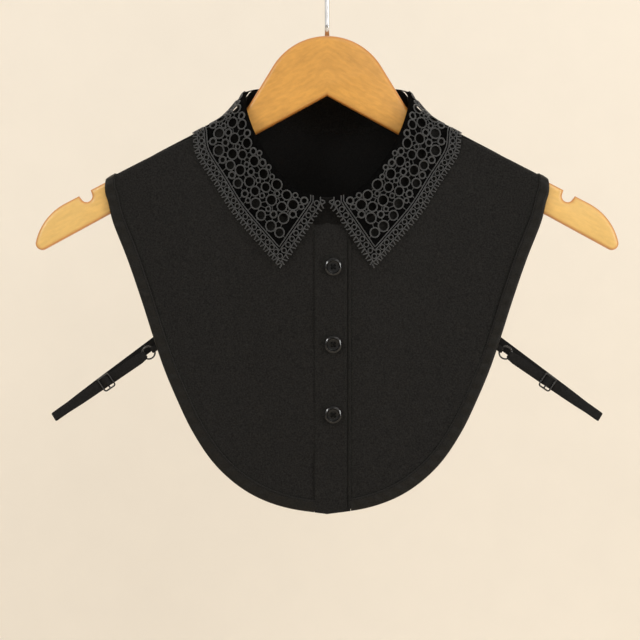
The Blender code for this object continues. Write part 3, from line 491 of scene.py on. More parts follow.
@dataclass(frozen=True)
class Lacquer(Finish):
    """Pale wood under a satin lacquer."""

    tips: Color = (0.84, 0.53, 0.165)
    # Darker orange painted on the rounded edges as their shade.
    rim: Color = (0.56, 0.20, 0.035)
    slope: float = math.radians(27.5)

    def make(self) -> bpy.types.Material:
        """Build the material."""
        material, graph, shader = self.start()
        spot = graph.add("ShaderNodeTexCoord").outputs["Object"]
        grain = Effect.use(graph, grain_effect(), Vector=spot, Slope=self.slope)
        mottle = Effect.use(graph, mottle_effect(), Vector=spot, Broad=22.0, Fine=400.0)
        parts = graph.add("ShaderNodeSeparateXYZ")
        graph.feed(parts.inputs[0], spot)
        reach = graph.span(graph.math("ABSOLUTE", parts.outputs[0]), 0.07, 0.19, 0.0, 1.0)
        base = graph.mix(reach, (*self.color, 1.0), (*self.tips, 1.0))
        dark = graph.mix(reach, (*[c * 0.66 for c in self.color], 1.0),
                         (*[c * 0.74 for c in self.tips], 1.0))
        share = graph.math("ADD", graph.math("MULTIPLY", grain.outputs["Rings"], 0.45),
                           graph.math("MULTIPLY", grain.outputs["Fibres"], 0.3))
        share = graph.math("ADD", share, graph.math("MULTIPLY", mottle.outputs["Factor"], 0.25))
        # Faces turned away from the front, on the rounded edges, take the darker rim colour: painted
        # shade on the edges.
        faces = graph.add("ShaderNodeSeparateXYZ")
        graph.feed(faces.inputs[0], graph.add("ShaderNodeNewGeometry").outputs["Normal"])
        rim = graph.span(graph.math("ABSOLUTE", faces.outputs[1]), 0.55, 0.98, 0.9, 0.0)
        wood = graph.mix(rim, graph.mix(share, dark, base), (*self.rim, 1.0))
        graph.feed(shader.inputs["Base Color"], wood)
        graph.feed(shader.inputs["Roughness"],
                   graph.span(mottle.outputs["Factor"], 0.0, 1.0, self.roughness - 0.05,
                              self.roughness + 0.05))
        shader.inputs["Coat Weight"].default_value = 0.35
        shader.inputs["Coat Roughness"].default_value = 0.18
        bump = graph.add("ShaderNodeBump")
        bump.inputs["Strength"].default_value = 0.25
        bump.inputs["Distance"].default_value = 0.0002
        graph.feed(bump.inputs["Height"], grain.outputs["Fibres"])
        graph.feed(shader.inputs["Normal"], bump.outputs[0])
        return material


@dataclass(frozen=True)
class Metal(Finish):
    """Plated or coated wire and stampings."""

    metallic: float = 1.0
    coat: float = 0.0

    def make(self) -> bpy.types.Material:
        """Build the material."""
        material, graph, shader = self.start()
        spot = graph.add("ShaderNodeTexCoord").outputs["Object"]
        mottle = Effect.use(graph, mottle_effect(), Vector=spot, Broad=90.0, Fine=1500.0)
        graph.feed(shader.inputs["Base Color"],
                   self.shaded(graph, mottle.outputs["Factor"], 0.9, 1.1))
        graph.feed(shader.inputs["Roughness"],
                   graph.span(mottle.outputs["Factor"], 0.0, 1.0, self.roughness * 0.8,
                              self.roughness * 1.3))
        shader.inputs["Metallic"].default_value = self.metallic
        shader.inputs["Coat Weight"].default_value = self.coat
        shader.inputs["Coat Roughness"].default_value = 0.1
        return material


@dataclass(frozen=True)
class Polished(Finish):
    """Polished plastic with faint scuffs."""

    def make(self) -> bpy.types.Material:
        """Build the material."""
        material, graph, shader = self.start()
        spot = graph.add("ShaderNodeTexCoord").outputs["Object"]
        mottle = Effect.use(graph, mottle_effect(), Vector=spot, Broad=200.0, Fine=2500.0)
        graph.feed(shader.inputs["Base Color"],
                   self.shaded(graph, mottle.outputs["Factor"], 0.8, 1.2))
        graph.feed(shader.inputs["Roughness"],
                   graph.span(mottle.outputs["Factor"], 0.0, 1.0, self.roughness,
                              self.roughness * 1.8))
        shader.inputs["Specular IOR Level"].default_value = 0.1
        shader.inputs["Coat Weight"].default_value = 0.6
        shader.inputs["Coat Roughness"].default_value = 0.04
        return material


@dataclass(frozen=True)
class Paper(Finish):
    """The plain pale studio sweep, seen through from behind."""

    def make(self) -> bpy.types.Material:
        """Build the material."""
        material, graph, shader = self.start()
        spot = graph.add("ShaderNodeTexCoord").outputs["Object"]
        mottle = Effect.use(graph, mottle_effect(), Vector=spot, Broad=2.0, Fine=30.0)
        graph.feed(shader.inputs["Base Color"],
                   self.shaded(graph, mottle.outputs["Factor"], 0.985, 1.015))
        shader.inputs["Specular IOR Level"].default_value = 0.1
        behind = graph.add("ShaderNodeNewGeometry").outputs["Backfacing"]
        graph.feed(shader.inputs["Alpha"], graph.math("SUBTRACT", 1.0, behind))
        return material


# Making and placing meshes


class Maker:
    """Collects points and faces of one piece, with flat coordinates for its pattern."""

    def __init__(self, name: str, pattern: Pattern) -> None:
        """Start an empty piece."""
        self.name = name
        self.pattern = pattern
        self.work = bmesh.new()
        self.layer = self.work.loops.layers.uv.new(pattern.value)

    def face(self, verts: Sequence[bmesh.types.BMVert], flats: Sequence[tuple]) -> None:
        """Add one face with its flat coordinates, in metres."""
        face = self.work.faces.new(verts)
        face.smooth = True
        for loop, flat in zip(face.loops, flats):
            loop[self.layer].uv = flat

    def tube(self, rings: list[list[Vector]], closed: bool, start: float = 0.0) -> None:
        """Skin matching rings of points into a tube.

        Args:
            rings: Sections along the tube, in metres.
            closed: Whether the last section joins the first.
            start: Length along the thread at the first section.
        """
        rows = [[self.work.verts.new(point) for point in ring] for ring in rings]
        sides = len(rows[0])
        lengths = [start]
        for here, after in zip(rings, rings[1:] + rings[:1]):
            lengths.append(lengths[-1] + (after[0] - here[0]).length)
        for index in range(len(rows) - (0 if closed else 1)):
            row, after = rows[index], rows[(index + 1) % len(rows)]
            low, high = lengths[index], lengths[index + 1]
            for i in range(sides):
                j = (i + 1) % sides
                self.face((row[i], row[j], after[j], after[i]),
                          ((low, i / sides), (low, (i + 1) / sides),
                           (high, (i + 1) / sides), (high, i / sides)))
        if not closed:
            for row, length in ((list(reversed(rows[0])), lengths[0]), (rows[-1], lengths[-2])):
                self.face(row, [(length, i / sides) for i in range(sides)])

    def done(self, sharp: float | None = None) -> bpy.types.Mesh:
        """Finish the mesh with its faces pointing out."""
        bmesh.ops.recalc_face_normals(self.work, faces=self.work.faces)
        mesh = bpy.data.meshes.new(self.name)
        self.work.to_mesh(mesh)
        self.work.free()
        if sharp is not None:
            mesh.set_sharp_from_angle(angle=sharp)
        return mesh


class Outfit:
    """Links finished pieces to the scene and to the frame."""

    @staticmethod
    def add(data: bpy.types.Mesh | bpy.types.Curve, material: bpy.types.Material, slot: str,
            nodes: Sequence[str] = ()) -> bpy.types.Object:
        """Make an object of a mesh and let it ride on the frame.

        Args:
            data: The finished mesh or curve, whose name the piece takes.
            material: Its finish.
            slot: Not used.
            nodes: Solids that the piece stands for.

        Returns:
            The placed object.
        """
        thing = bpy.data.objects.new(data.name, data)
        data.materials.append(material)
        bpy.context.scene.collection.objects.link(thing)
        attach(thing, "root")
        if nodes:
            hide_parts(*nodes)
        LOG.info("%s stands for %s", thing.name, ", ".join(nodes) or "no solid")
        return thing


# The hanger


@dataclass(frozen=True)
class HangerShape:
    """Sizes of the flat wooden hanger."""

    top: float = -70.0
    crown_radius: float = 48.5
    crown_sweep: float = 58.5
    arm_x: float = 61.2
    arm_z: float = -125.6
    slope: float = math.radians(27.5)
    underside: float = -115.6
    curve_start: float = 199.9
    end_radius: float = 43.5
    end_corner: float = 5.0
    end_headings: tuple[float, float] = (-78.0, -208.0)
    notch_at: float = 184.9
    notch_half: float = 5.0
    notch_depth: float = 2.6
    notch_radius: float = 4.5
    notch_sweep: float = 150.0
    thick: float = 12.0
    rounding: float = 3.2

    def arm_top(self, x: float) -> float:
        """Height of the arm's top edge."""
        return self.arm_z - (abs(x) - self.arm_x) * math.tan(self.slope)

    def arc(self, start: Sequence[float], radius: float, first: float, last: float,
            steps: int) -> list[tuple[float, float]]:
        """Points of a clockwise arc whose heading turns from first to last, in degrees."""
        begin = math.radians(first)
        points = []
        for step in range(1, steps + 1):
            turn = math.radians(first + (last - first) * step / steps)
            points.append((start[0] + radius * (math.sin(begin) - math.sin(turn)),
                           start[1] + radius * (math.cos(turn) - math.cos(begin))))
        return points

    def outline(self) -> list[tuple[float, float]]:
        """Right half of the outline, from the crown's top to the underside's apex."""
        points = []
        for step in range(25):
            turn = math.radians(self.crown_sweep) * step / 24
            points.append((self.crown_radius * math.sin(turn),
                           self.top - self.crown_radius * (1 - math.cos(turn))))
        along = Vector((math.cos(self.slope), -math.sin(self.slope)))
        up = Vector((-along.y, along.x))
        lean = math.radians(self.crown_sweep)
        down = Vector((math.cos(lean), -math.sin(lean)))
        joint = Vector((self.arm_x, self.arm_z))
        for step in range(7):
            points.append(tuple(hermite(joint - down * 4.0, joint + along * 4.0, down * 8.0,
                                        along * 8.0, step / 6)))
        mouth = Vector((self.notch_at, self.arm_top(self.notch_at)))
        points.append(tuple(mouth - along * self.notch_half))
        centre = mouth - up * self.notch_depth
        first = math.degrees(math.atan2(up.y, up.x)) + 180.0 - self.notch_sweep / 2
        for step in range(19):
            turn = math.radians(first + self.notch_sweep * step / 18)
            points.append((centre.x + self.notch_radius * math.cos(turn),
                           centre.y + self.notch_radius * math.sin(turn)))
        points.append(tuple(mouth + along * self.notch_half))
        bend = (self.curve_start, self.arm_top(self.curve_start))
        points.append(bend)
        slope = -math.degrees(self.slope)
        points += self.arc(bend, self.end_radius, slope, self.end_headings[0], 16)
        points += self.arc(points[-1], self.end_corner, *self.end_headings, 14)
        points.append((0.0, self.underside))
        return points


@dataclass
class Hanger:
    """The wooden board and its wire hook."""

    shape: HangerShape
    wood: Lacquer
    chrome: Metal
    wire: float = 3.7
    radius: float = 19.0
    straight: float = 28.4
    lean: float = 60.0
    lean_radius: float = 4.35
    end: float = -8.0

    def board(self) -> bpy.types.Object:
        """The board, its edges rounded."""
        half = self.shape.outline()
        loop = half + [(-x, z) for x, z in reversed(half[1:-1])]
        curve = bpy.data.curves.new("board_outline", "CURVE")
        curve.dimensions = "2D"
        curve.fill_mode = "BOTH"
        curve.extrude = (self.shape.thick / 2 - self.shape.rounding) * MM
        curve.bevel_depth = self.shape.rounding * MM
        curve.bevel_resolution = 4
        curve.offset = -self.shape.rounding * MM
        line = curve.splines.new("POLY")
        line.points.add(len(loop) - 1)
        for point, (x, z) in zip(line.points, loop):
            point.co = (x * MM, z * MM, 0.0, 1.0)
        line.use_cyclic_u = True
        guide = bpy.data.objects.new("board_outline", curve)
        bpy.context.scene.collection.objects.link(guide)
        bpy.context.view_layer.update()
        graph = bpy.context.evaluated_depsgraph_get()
        mesh = bpy.data.meshes.new_from_object(guide.evaluated_get(graph))
        bpy.data.objects.remove(guide)
        work = bmesh.new()
        work.from_mesh(mesh)
        bmesh.ops.remove_doubles(work, verts=work.verts, dist=0.00001)
        bmesh.ops.rotate(work, verts=work.verts, matrix=Matrix.Rotation(math.pi / 2, 3, "X"))
        bmesh.ops.recalc_face_normals(work, faces=work.faces)
        for face in work.faces:
            face.smooth = True
        work.to_mesh(mesh)
        work.free()
        mesh.name = "hanger_board"
        mesh.set_sharp_from_angle(angle=math.radians(40))
        return Outfit.add(mesh, self.wood.make(), "wood", ("hanger_wood",))

    def hook(self) -> bpy.types.Object:
        """The wire, bent aside and then round over the rail."""
        centre = self.wire / 2 - self.radius
        path = [Vector((0.0, 0.0, self.shape.top + SEAM))]
        bend = self.shape.top + self.straight
        path += [Vector((0.0, 0.0, self.shape.top + self.straight * i / 6)) for i in range(2, 6)]
        for step in range(11):
            turn = math.radians(self.lean) * step / 10
            path.append(Vector((-self.lean_radius * (1 - math.cos(turn)), 0.0,
                                bend + self.lean_radius * math.sin(turn))))
        for step in range(73):
            turn = math.radians(180.0 + self.lean
                                + (self.end - 180.0 - self.lean) * step / 72)
            path.append(Vector((self.radius * math.cos(turn), 0.0,
                                centre + self.radius * math.sin(turn))))
        maker = Maker("hook_wire", Pattern.THREAD)
        rings = []
        for index, point in enumerate(path):
            ahead = path[min(index + 1, len(path) - 1)]
            behind = path[max(index - 1, 0)]
            along = (ahead - behind).normalized()
            side = Vector((along.z, 0.0, -along.x))
            ring = []
            for i in range(16):
                turn = 2 * math.pi * i / 16
                out = side * math.cos(turn) + Vector((0.0, math.sin(turn), 0.0))
                ring.append((point + out * self.wire / 2) * MM)
            rings.append(ring)
        tip = (rings[-1][0] + rings[-1][8]) / 2
        forward = (path[-1] - path[-2]).normalized() * MM
        for push, share in ((0.9, 0.87), (1.5, 0.5)):
            rings.append([tip + forward * push + (p - tip) * share for p in rings[len(path) - 1]])
        maker.tube(rings, False)
        return Outfit.add(maker.done(), self.chrome.make(), "chrome", ("hanger_hook",))

    def build(self) -> None:
        """Build both pieces."""
        self.board()
        self.hook()


# The cloth's form


class Crease(NamedTuple):
    """A soft ridge (positive) or trough of the cloth from one flat point to another."""

    from_x: float
    from_run: float
    to_x: float
    to_run: float
    width: float
    height: float


@dataclass(frozen=True)
class Drape:
    """How flat cloth lies over the hanger's shoulder and hangs from it."""

    hanger: HangerShape
    gap: float = 0.8
    flat: float = 3.4
    rounding: float = 5.0
    front: tuple[float, float] = (21.0, 100.0)
    back: tuple[float, float] = (16.0, 60.0)
    spread: float = 70.0

    @property
    def turn(self) -> float:
        """Run at which the cloth starts to hang down."""
        return self.flat + self.rounding * math.pi / 2

    def ridge(self, x: float) -> float:
        """Height of the cloth's outer face along the shoulder."""
        return self.hanger.arm_top(x) + self.gap + WALL

    def bulge(self, x: float, drop: float, form: tuple[float, float]) -> float:
        """How far the cloth stands out from the hanger's plane below the shoulder."""
        share = drop / form[1]
        return form[0] * math.exp(-(x / self.spread) ** 2) * share * math.exp(1.0 - share)

    def point(self, x: float, run: float, lift: float = 0.0) -> Vector:
        """Point in space.

        Args:
            x: Distance from the middle.
            run: Distance over the shoulder, positive in front.
            lift: Height off the cloth's outer face.

        Returns:
            The point in metres.
        """
        side = -1.0 if run >= 0 else 1.0
        length = abs(run)
        top = self.ridge(x)
        if length <= self.flat:
            return Vector((x, side * length, top + lift)) * MM
        if length < self.turn:
            turn = (length - self.flat) / self.rounding
            reach = self.rounding + lift
            height = top - self.rounding + reach * math.cos(turn)
            return Vector((x, side * (self.flat + reach * math.sin(turn)), height)) * MM
        drop = length - self.turn
        out = self.bulge(x, drop, self.front if side < 0 else self.back)
        depth = self.flat + self.rounding + out + lift
        return Vector((x, side * depth, top - self.rounding - drop)) * MM

    def run_at(self, x: float, height: float) -> float:
        """Run over the front shoulder down to a height."""
        return self.turn + self.ridge(x) - self.rounding - height

    def foot(self, x: float, y: float, z: float) -> tuple[float, float]:
        """The run and lift that point() turns into this place, at its own x."""
        side = 1.0 if y < 0 else -1.0
        over = z - (self.ridge(x) - self.rounding)
        out = abs(y) - self.flat
        if over >= 0 and out <= 0:
            return side * abs(y), over - self.rounding
        if over >= 0:
            turn = math.atan2(out, over)
            return side * (self.flat + self.rounding * turn), \
                math.hypot(out, over) - self.rounding
        deep = self.bulge(x, -over, self.front if side > 0 else self.back)
        return side * (self.turn - over), out - self.rounding - deep


FRONT_EDGE = (
    (169.3, -188.0), (166.8, -197.4), (162.9, -213.1), (152.0, -241.0), (141.5, -271.5),
    (132.7, -299.1), (124.2, -323.9), (114.9, -346.2), (103.0, -371.0), (87.9, -393.9),
    (70.7, -410.7), (51.7, -422.4), (29.1, -430.0), (0.0, -434.3),
)
BACK_EDGE = (
    (168.3, -188.0), (163.4, -202.0), (157.2, -218.0), (147.0, -245.0), (137.0, -273.0),
    (128.4, -298.0), (118.6, -322.0), (107.0, -343.0), (92.0, -363.0), (73.0, -382.0),
    (50.0, -396.0), (25.0, -404.5), (0.0, -407.0),
)
FRONT_CREASES = (
    Crease(-150.0, 26.0, -122.0, 140.0, 13.0, -0.9),
    Crease(-118.0, 22.0, -96.0, 200.0, 18.0, 0.8),
    Crease(-72.0, 130.0, -62.0, 285.0, 17.0, -0.7),
    Crease(-34.0, 165.0, -30.0, 280.0, 11.0, 0.5),
    Crease(144.0, 24.0, 124.0, 150.0, 14.0, -0.9),
    Crease(112.0, 30.0, 98.0, 190.0, 19.0, 0.9),
    Crease(66.0, 150.0, 60.0, 270.0, 15.0, -0.7),
    Crease(34.0, 190.0, 30.0, 300.0, 10.0, 0.5),
    Crease(-60.0, 250.0, 20.0, 292.0, 12.0, 0.4),
    Crease(-12.0, 122.0, -46.0, 134.0, 8.0, 0.4),
    Crease(18.0, 180.0, 52.0, 196.0, 8.0, 0.4),
)
BACK_CREASES = (
    Crease(-146.0, -24.0, -120.0, -140.0, 14.0, -0.8),
    Crease(-92.0, -36.0, -80.0, -220.0, 18.0, 0.8),
    Crease(-24.0, -80.0, -30.0, -260.0, 16.0, -0.6),
    Crease(34.0, -90.0, 26.0, -240.0, 15.0, 0.7),
    Crease(86.0, -40.0, 96.0, -210.0, 18.0, -0.7),
    Crease(142.0, -24.0, 118.0, -150.0, 13.0, 0.8),
)


@dataclass(frozen=True)
class Garment:
    """Lines shared by the pieces: shoulder seams, outer edges and relief."""

    drape: Drape
    shoulder: tuple[float, float, float] = (99.0, 8.4, 0.123)
    shoulder_end: tuple[float, float] = (168.6, 0.0)
    placket: tuple[float, float] = (-9.6, 17.8)
    placket_lift: float = 0.5 + WALL
    band: float = 7.8
    edge_trim: float = 1.3
    neck_lap: float = 0.7

    def seam_run(self, x: float) -> float:
        """Run of the shoulder seam."""
        reference, run, slope = self.shoulder
        return run - (abs(x) - reference) * slope

    def edge(self, front: bool, step: float) -> list[Vector]:
        """Outer edge from the left shoulder round the hem to the right one."""
        sign = 1.0 if front else -1.0
        rows = FRONT_EDGE if front else BACK_EDGE
        points = [(x, sign * self.drape.run_at(x, z)) for x, z in reversed(rows)]
        points.append(self.shoulder_end)
        path = smooth_path(points, 12)
        return respace([Vector((-p.x, p.y)) for p in reversed(path[1:])] + path, step)

    def relief(self, x: float, run: float) -> float:
        """Height of the creases at a flat point."""
        total = 0.0
        for crease in FRONT_CREASES if run >= 0 else BACK_CREASES:
            start = Vector((crease.from_x, crease.from_run))
            along = Vector((crease.to_x, crease.to_run)) - start
            share = (Vector((x, run)) - start).dot(along) / along.length_squared
            if not -0.2 < share < 1.2:
                continue
            off = (Vector((x, run)) - start - along * share).length / crease.width
            fade = math.sin(math.pi * max(0.0, min(1.0, (share + 0.2) / 1.4)))
            total += crease.height * fade * math.exp(-off * off)
        settled = max(0.0, min(1.0, (abs(run) - self.drape.turn) / 25.0))
        return total * settled


# The collar's form


class Station(NamedTuple):
    """One section of the collar, from the centre front round to the centre back."""

    fold_x: float
    fold_y: float
    fold_z: float
    seam_x: float
    seam_run: float
    edge_x: float
    edge_run: float


STATIONS = (
    Station(0.0, -30.0, -194.4, 0.0, 128.4, 34.7, 146.4),
    Station(21.0, -29.2, -189.0, 26.4, 111.6, 49.0, 123.2),
    Station(35.6, -26.9, -176.0, 44.8, 92.9, 71.7, 85.0),
    Station(47.0, -23.2, -159.0, 59.1, 72.6, 87.3, 52.4),
    Station(55.3, -18.1, -143.5, 69.5, 50.2, 100.0, 25.8),
    Station(60.3, -11.5, -129.5, 75.9, 26.8, 102.9, 12.3),
    Station(62.0, -2.0, -121.0, 78.0, 2.0, 103.2, 0.0),
    Station(60.3, 7.5, -115.0, 76.0, -16.0, 101.0, -15.0),
    Station(55.3, 14.1, -111.5, 69.5, -19.6, 90.0, -28.0),
    Station(35.6, 22.9, -109.3, 44.8, -32.3, 52.0, -53.3),
    Station(0.0, 26.0, -108.8, 0.0, -55.6, 0.0, -80.4),
)
LAST = len(STATIONS) - 1


class RingSize(NamedTuple):
    """One size of lace ring, how far apart two of that size stay, and its cord's width."""

    outer: float
    same_spacing: float
    cord: float


RING_SIZES = (RingSize(9.2, 11.5, 0.95), RingSize(8.3, 9.4, 0.95), RingSize(6.3, 6.6, 1.17),
              RingSize(4.7, 4.9, 0.95))


class Ring(NamedTuple):
    """A lace ring in its place: flat centre, place in millimetres and size."""

    flat: Vector
    point: Vector
    size: RingSize


class CollarForm:
    """The collar's fold, neck seam and leaf, and the flat plan of the leaf."""

    leaf_run = 52.0
    centre_gap = 0.5
    fold_margin = 2.0
    border_depth = 12.5
    ring_cord = 1.25
    tip = (34.7, -250.1)
    tip_slope = math.radians(55.2)
    rest = SEAM + WALL + 0.25
    at_placket = (1.8, 1.3)
    lands = (0.85, 0.6)
    puff = 1.0
    shoulder = (6.0, 1.6)
    roll_at = 0.075
    roll = (1.6, 0.5, 4.0)

    def __init__(self, drape: Drape) -> None:
        """Keep the drape and measure the leaf's length."""
        self.drape = drape
        first, second = STATIONS[0], STATIONS[1]
        before = self.mirror(second)._replace(
            edge_x=2 * first.edge_x - second.edge_x,
            edge_run=2 * first.edge_run - second.edge_run)
        self.rows = (before, *STATIONS, self.mirror(STATIONS[-2]))
        self.lengths = [0.0]
        points = [self.leaf(i / 10, 0.6) / MM for i in range(10 * LAST + 1)]
        for here, after in zip(points, points[1:]):
            self.lengths.append(self.lengths[-1] + (after - here).length)

    @staticmethod
    def mirror(row: Station) -> Station:
        """A station seen on the other side of the centre."""
        return row._replace(fold_x=-row.fold_x, seam_x=-row.seam_x, edge_x=-row.edge_x)

    def column(self, name: str, station: float) -> float:
        """One column of the stations, smoothly between rows, carried on past the first."""
        index = max(0, min(LAST - 1, math.floor(station)))
        after = self.rows[min(index + 3, len(self.rows) - 1)]
        start, end = getattr(self.rows[index + 1], name), getattr(self.rows[index + 2], name)
        leave = (end - getattr(self.rows[index], name)) / 2
        if station < 0:
            return start + leave * station
        return hermite(start, end, leave, (getattr(after, name) - start) / 2, station - index)

    def fold_at(self, station: float) -> tuple[float, float, float]:
        """The fold's inner contour."""
        return (self.column("fold_x", station), self.column("fold_y", station),
                self.column("fold_z", station))

    def seam_at(self, station: float) -> tuple[float, float]:
        """The neck seam in x and run."""
        if station < 0:
            x, run = self.seam_at(-station)
            return -x, run
        return self.column("seam_x", station), self.column("seam_run", station)

    def leaf(self, station: float, share: float, lift: float = 0.0) -> Vector:
        """Outer face of the leaf, from the fold (share 0) to the outer edge (share 1)."""
        x, y, z = self.fold_at(station)
        run, height = self.drape.foot(x, y, z)
        height += 2 * WALL + 2 * SEAM
        rest = self.rest
        rest += self.at_placket[0] * math.exp(-(max(station, 0.0) / self.at_placket[1]) ** 2)
        edge_x = self.column("edge_x", station)
        edge_run = self.column("edge_run", station)
        shoulder = math.exp(-((station - self.shoulder[0]) / self.shoulder[1]) ** 2)
        lands = self.lands[0] + (self.lands[1] - self.lands[0]) * shoulder
        fall = max(0.0, 1.0 - max(share, 0.0) / lands)
        settle = fall * fall * (3.0 - 2.0 * fall)
        roll = self.roll[0] + self.roll[1] * min(station, self.roll[2])
        roll *= max(share, 0.0) / self.roll_at * math.exp(1.0 - share / self.roll_at)
        puff = self.puff * (1.0 - shoulder) * math.sin(math.pi * min(max(share, 0.0), 1.0))
        rise = rest + (height - rest) * settle + puff + roll + lift
        return self.drape.point(x + (edge_x - x) * share, run + (edge_run - run) * share, rise)

    def station_at(self, along: float) -> float:
        """Station for a length along the leaf."""
        if along <= 0:
            return along / self.lengths[10]
        for index in range(len(self.lengths) - 1):
            if along <= self.lengths[index + 1]:
                step = self.lengths[index + 1] - self.lengths[index]
                return (index + (along - self.lengths[index]) / step) / 10
        return float(LAST)

    def place(self, flat: Vector, lift: float = 0.0) -> Vector:
        """Outer face of the leaf from flat sizes: along it, and out from the fold."""
        return self.leaf(self.station_at(flat.x), flat.y / self.leaf_run, lift)

    def steps_at(self, flat: Vector) -> tuple[Vector, Vector]:
        """Two flat steps that move 1 mm along and 1 mm square to it on the leaf."""
        here = self.place(flat)
        step = -0.25 if flat.x > self.lengths[-1] - 0.5 else 0.25
        along = (self.place(flat + Vector((step, 0.0))) - here) / step / MM
        out = (self.place(flat + Vector((0.0, 0.25))) - here) / 0.25 / MM
        length = along.length
        lean = out.dot(along) / length
        square = math.sqrt(max(out.length_squared - lean * lean, 1e-6))
        return Vector((1 / length, 0)), Vector((-lean / length, 1.0)) / square

    def front_limit(self, out: float, depth: float) -> float:
        """Along-value of the wing's front edge, some depth inside it."""
        low, high = -30.0, 30.0
        for _ in range(24):
            middle = (low + high) / 2
            point = self.place(Vector((middle, out))) / MM
            offset = (point.x - self.tip[0]) * math.sin(self.tip_slope)
            offset += (point.z - self.tip[1]) * math.cos(self.tip_slope)
            if min(point.x - self.centre_gap, offset) - depth > 0:
                high = middle
            else:
                low = middle
        return high

    def outer_limit(self, along: float, depth: float) -> float:
        """Out-value of the outer edge, some depth inside it."""
        at = Vector((along, self.leaf_run))
        for _ in range(3):
            at = Vector((along, self.leaf_run - depth * self.steps_at(at)[1].y))
        return at.y

    def border(self, depth: float, spacing: float) -> tuple[list[Vector], list[Vector]]:
        """Flat path inside the outline: down the wing's front and round to the back."""
        corner = Vector((0.0, self.leaf_run - depth))
        for _ in range(12):
            corner = Vector((self.front_limit(corner.y, depth), corner.y))
            corner = Vector((corner.x, self.outer_limit(corner.x, depth)))
        count = max(2, round(corner.y / spacing))
        front = [Vector((self.front_limit(corner.y * i / count, depth), corner.y * i / count))
                 for i in range(count)]
        length = self.lengths[-1] - corner.x
        count = round(length / spacing)
        outer = [corner]
        for i in range(1, count + 1):
            along = corner.x + length * i / count
            outer.append(Vector((along, self.outer_limit(along, depth))))
        return front, outer

    def edge_room(self, flat: Vector, loop: list[Vector]) -> float:
        """Distance on the leaf from a flat point to the field's outline."""
        here = self.place(flat) / MM
        nearest = 1e9
        for first, second in zip(loop, loop[1:] + loop[:1]):
            along = second - first
            share = (flat - first).dot(along) / max(along.length_squared, 1e-9)
            near = first + along * max(0.0, min(1.0, share))
            if (near - flat).length < 12.0:
                nearest = min(nearest, (self.place(near) / MM - here).length)
        return nearest

    def rings(self) -> list[Ring]:
        """The lace rings, larger ones first, in one fixed order."""
        chance = random.Random(11)
        front, outer = self.border(self.border_depth + 0.5, 3.0)
        loop = front + outer + [Vector((self.lengths[-1] - 0.8, self.fold_margin)),
                                Vector((front[0].x, self.fold_margin))]
        trial = []
        for row in range(int(self.leaf_run / 1.3)):
            for column in range(int(self.lengths[-1] / 1.3) + 6):
                flat = Vector((column * 1.3 - 6.0 + chance.random(),
                               row * 1.3 + chance.random()))
                if inside(flat, loop):
                    trial.append(flat)
        chance.shuffle(trial)
        spots = [(flat, self.place(flat) / MM, self.edge_room(flat, loop)) for flat in trial]
        placed: list[Ring] = []
        for size in RING_SIZES:
            for flat, point, room in spots:
                if room < size.outer / 2:
                    continue
                clear = True
                for other in placed:
                    least = size.same_spacing if size is other.size else 0.0
                    touch = (size.outer + other.size.outer) / 2 - self.ring_cord * 0.3
                    if (point - other.point).length < max(least, touch):
                        clear = False
                        break
                if clear:
                    placed.append(Ring(flat, point, size))
        return placed


# Cloth pieces


class SheetMaker:
    """Turns flat outlines into thin shells."""

    @staticmethod
    def points(outline: list[Vector], spacing: float) -> list[Vector]:
        """A staggered grid of points inside an outline."""
        low_x, high_x = min(p.x for p in outline), max(p.x for p in outline)
        low_y, high_y = min(p.y for p in outline), max(p.y for p in outline)
        found = []
        for row in range(int((high_y - low_y) / (spacing * 0.87)) + 1):
            for column in range(int((high_x - low_x) / spacing) + 2):
                point = Vector((low_x + (column + 0.5 * (row % 2)) * spacing,
                                low_y + (row + 0.5) * spacing * 0.87))
                if inside(point, outline) and distance_to(point, outline) > spacing * 0.45:
                    found.append(point)
        return found

    @staticmethod
    def shell(name: str, outline: list[Vector], place: Place, spacing: float,
              thickness: float, lines: Sequence[list[Vector]] = (),
              holes: Sequence[list[Vector]] = ()) -> bpy.types.Mesh:
        """Triangulate a flat outline and lay it in space as a two-sided shell.

        Args:
            name: The mesh's name.
            outline: Its flat outline.
            place: Turns a flat point and a lift into a place in metres.
            spacing: Distance between inner points.
            thickness: The shell's thickness.
            lines: Lines of points that triangles may not cross.
            holes: Closed loops that are left open.

        Returns:
            The closed mesh with the cloth's flat coordinates.
        """
        points = list(outline)
        edges = [(i, (i + 1) % len(outline)) for i in range(len(outline))]
        for line in lines:
            edges += [(len(points) + i, len(points) + i + 1) for i in range(len(line) - 1)]
            points += line
        for hole in holes:
            edges += [(len(points) + i, len(points) + (i + 1) % len(hole))
                      for i in range(len(hole))]
            points += hole
        near = KDTree(len(points))
        for index, point in enumerate(points):
            near.insert(point.to_3d(), index)
        near.balance()

        def open_at(point: Vector) -> bool:
            return any((point - hole[0]).length < 12.0 and inside(point, hole)
                       for hole in holes)

        for point in SheetMaker.points(outline, spacing):
            if near.find(point.to_3d())[2] > spacing * 0.4 and not open_at(point):
                points.append(point)
        flats, _, faces, *_ = delaunay_2d_cdt(points, edges, [], 1, 1e-5)
        faces = [face for face in faces
                 if not open_at(sum((flats[i] for i in face), Vector((0.0, 0.0))) / len(face))]
        maker = Maker(name, Pattern.CLOTH)
        layers = []
        for lift in (0.0, -thickness):
            layers.append([maker.work.verts.new(place(flat, lift)) for flat in flats])
        sides: dict[tuple[int, int], int] = {}
        for face in faces:
            marks = [tuple(flats[i] * MM) for i in face]
            maker.face([layers[0][i] for i in reversed(face)], list(reversed(marks)))
            maker.face([layers[1][i] for i in face], marks)
            for i, j in zip(face, list(face[1:]) + [face[0]]):
                sides[(min(i, j), max(i, j))] = sides.get((min(i, j), max(i, j)), 0) + 1
        for (i, j), uses in sides.items():
            if uses == 1:
                first, second = tuple(flats[i] * MM), tuple(flats[j] * MM)
                maker.face([layers[0][i], layers[0][j], layers[1][j], layers[1][i]],
                           (first, second, second, first))
        return maker.done(sharp=math.radians(60))


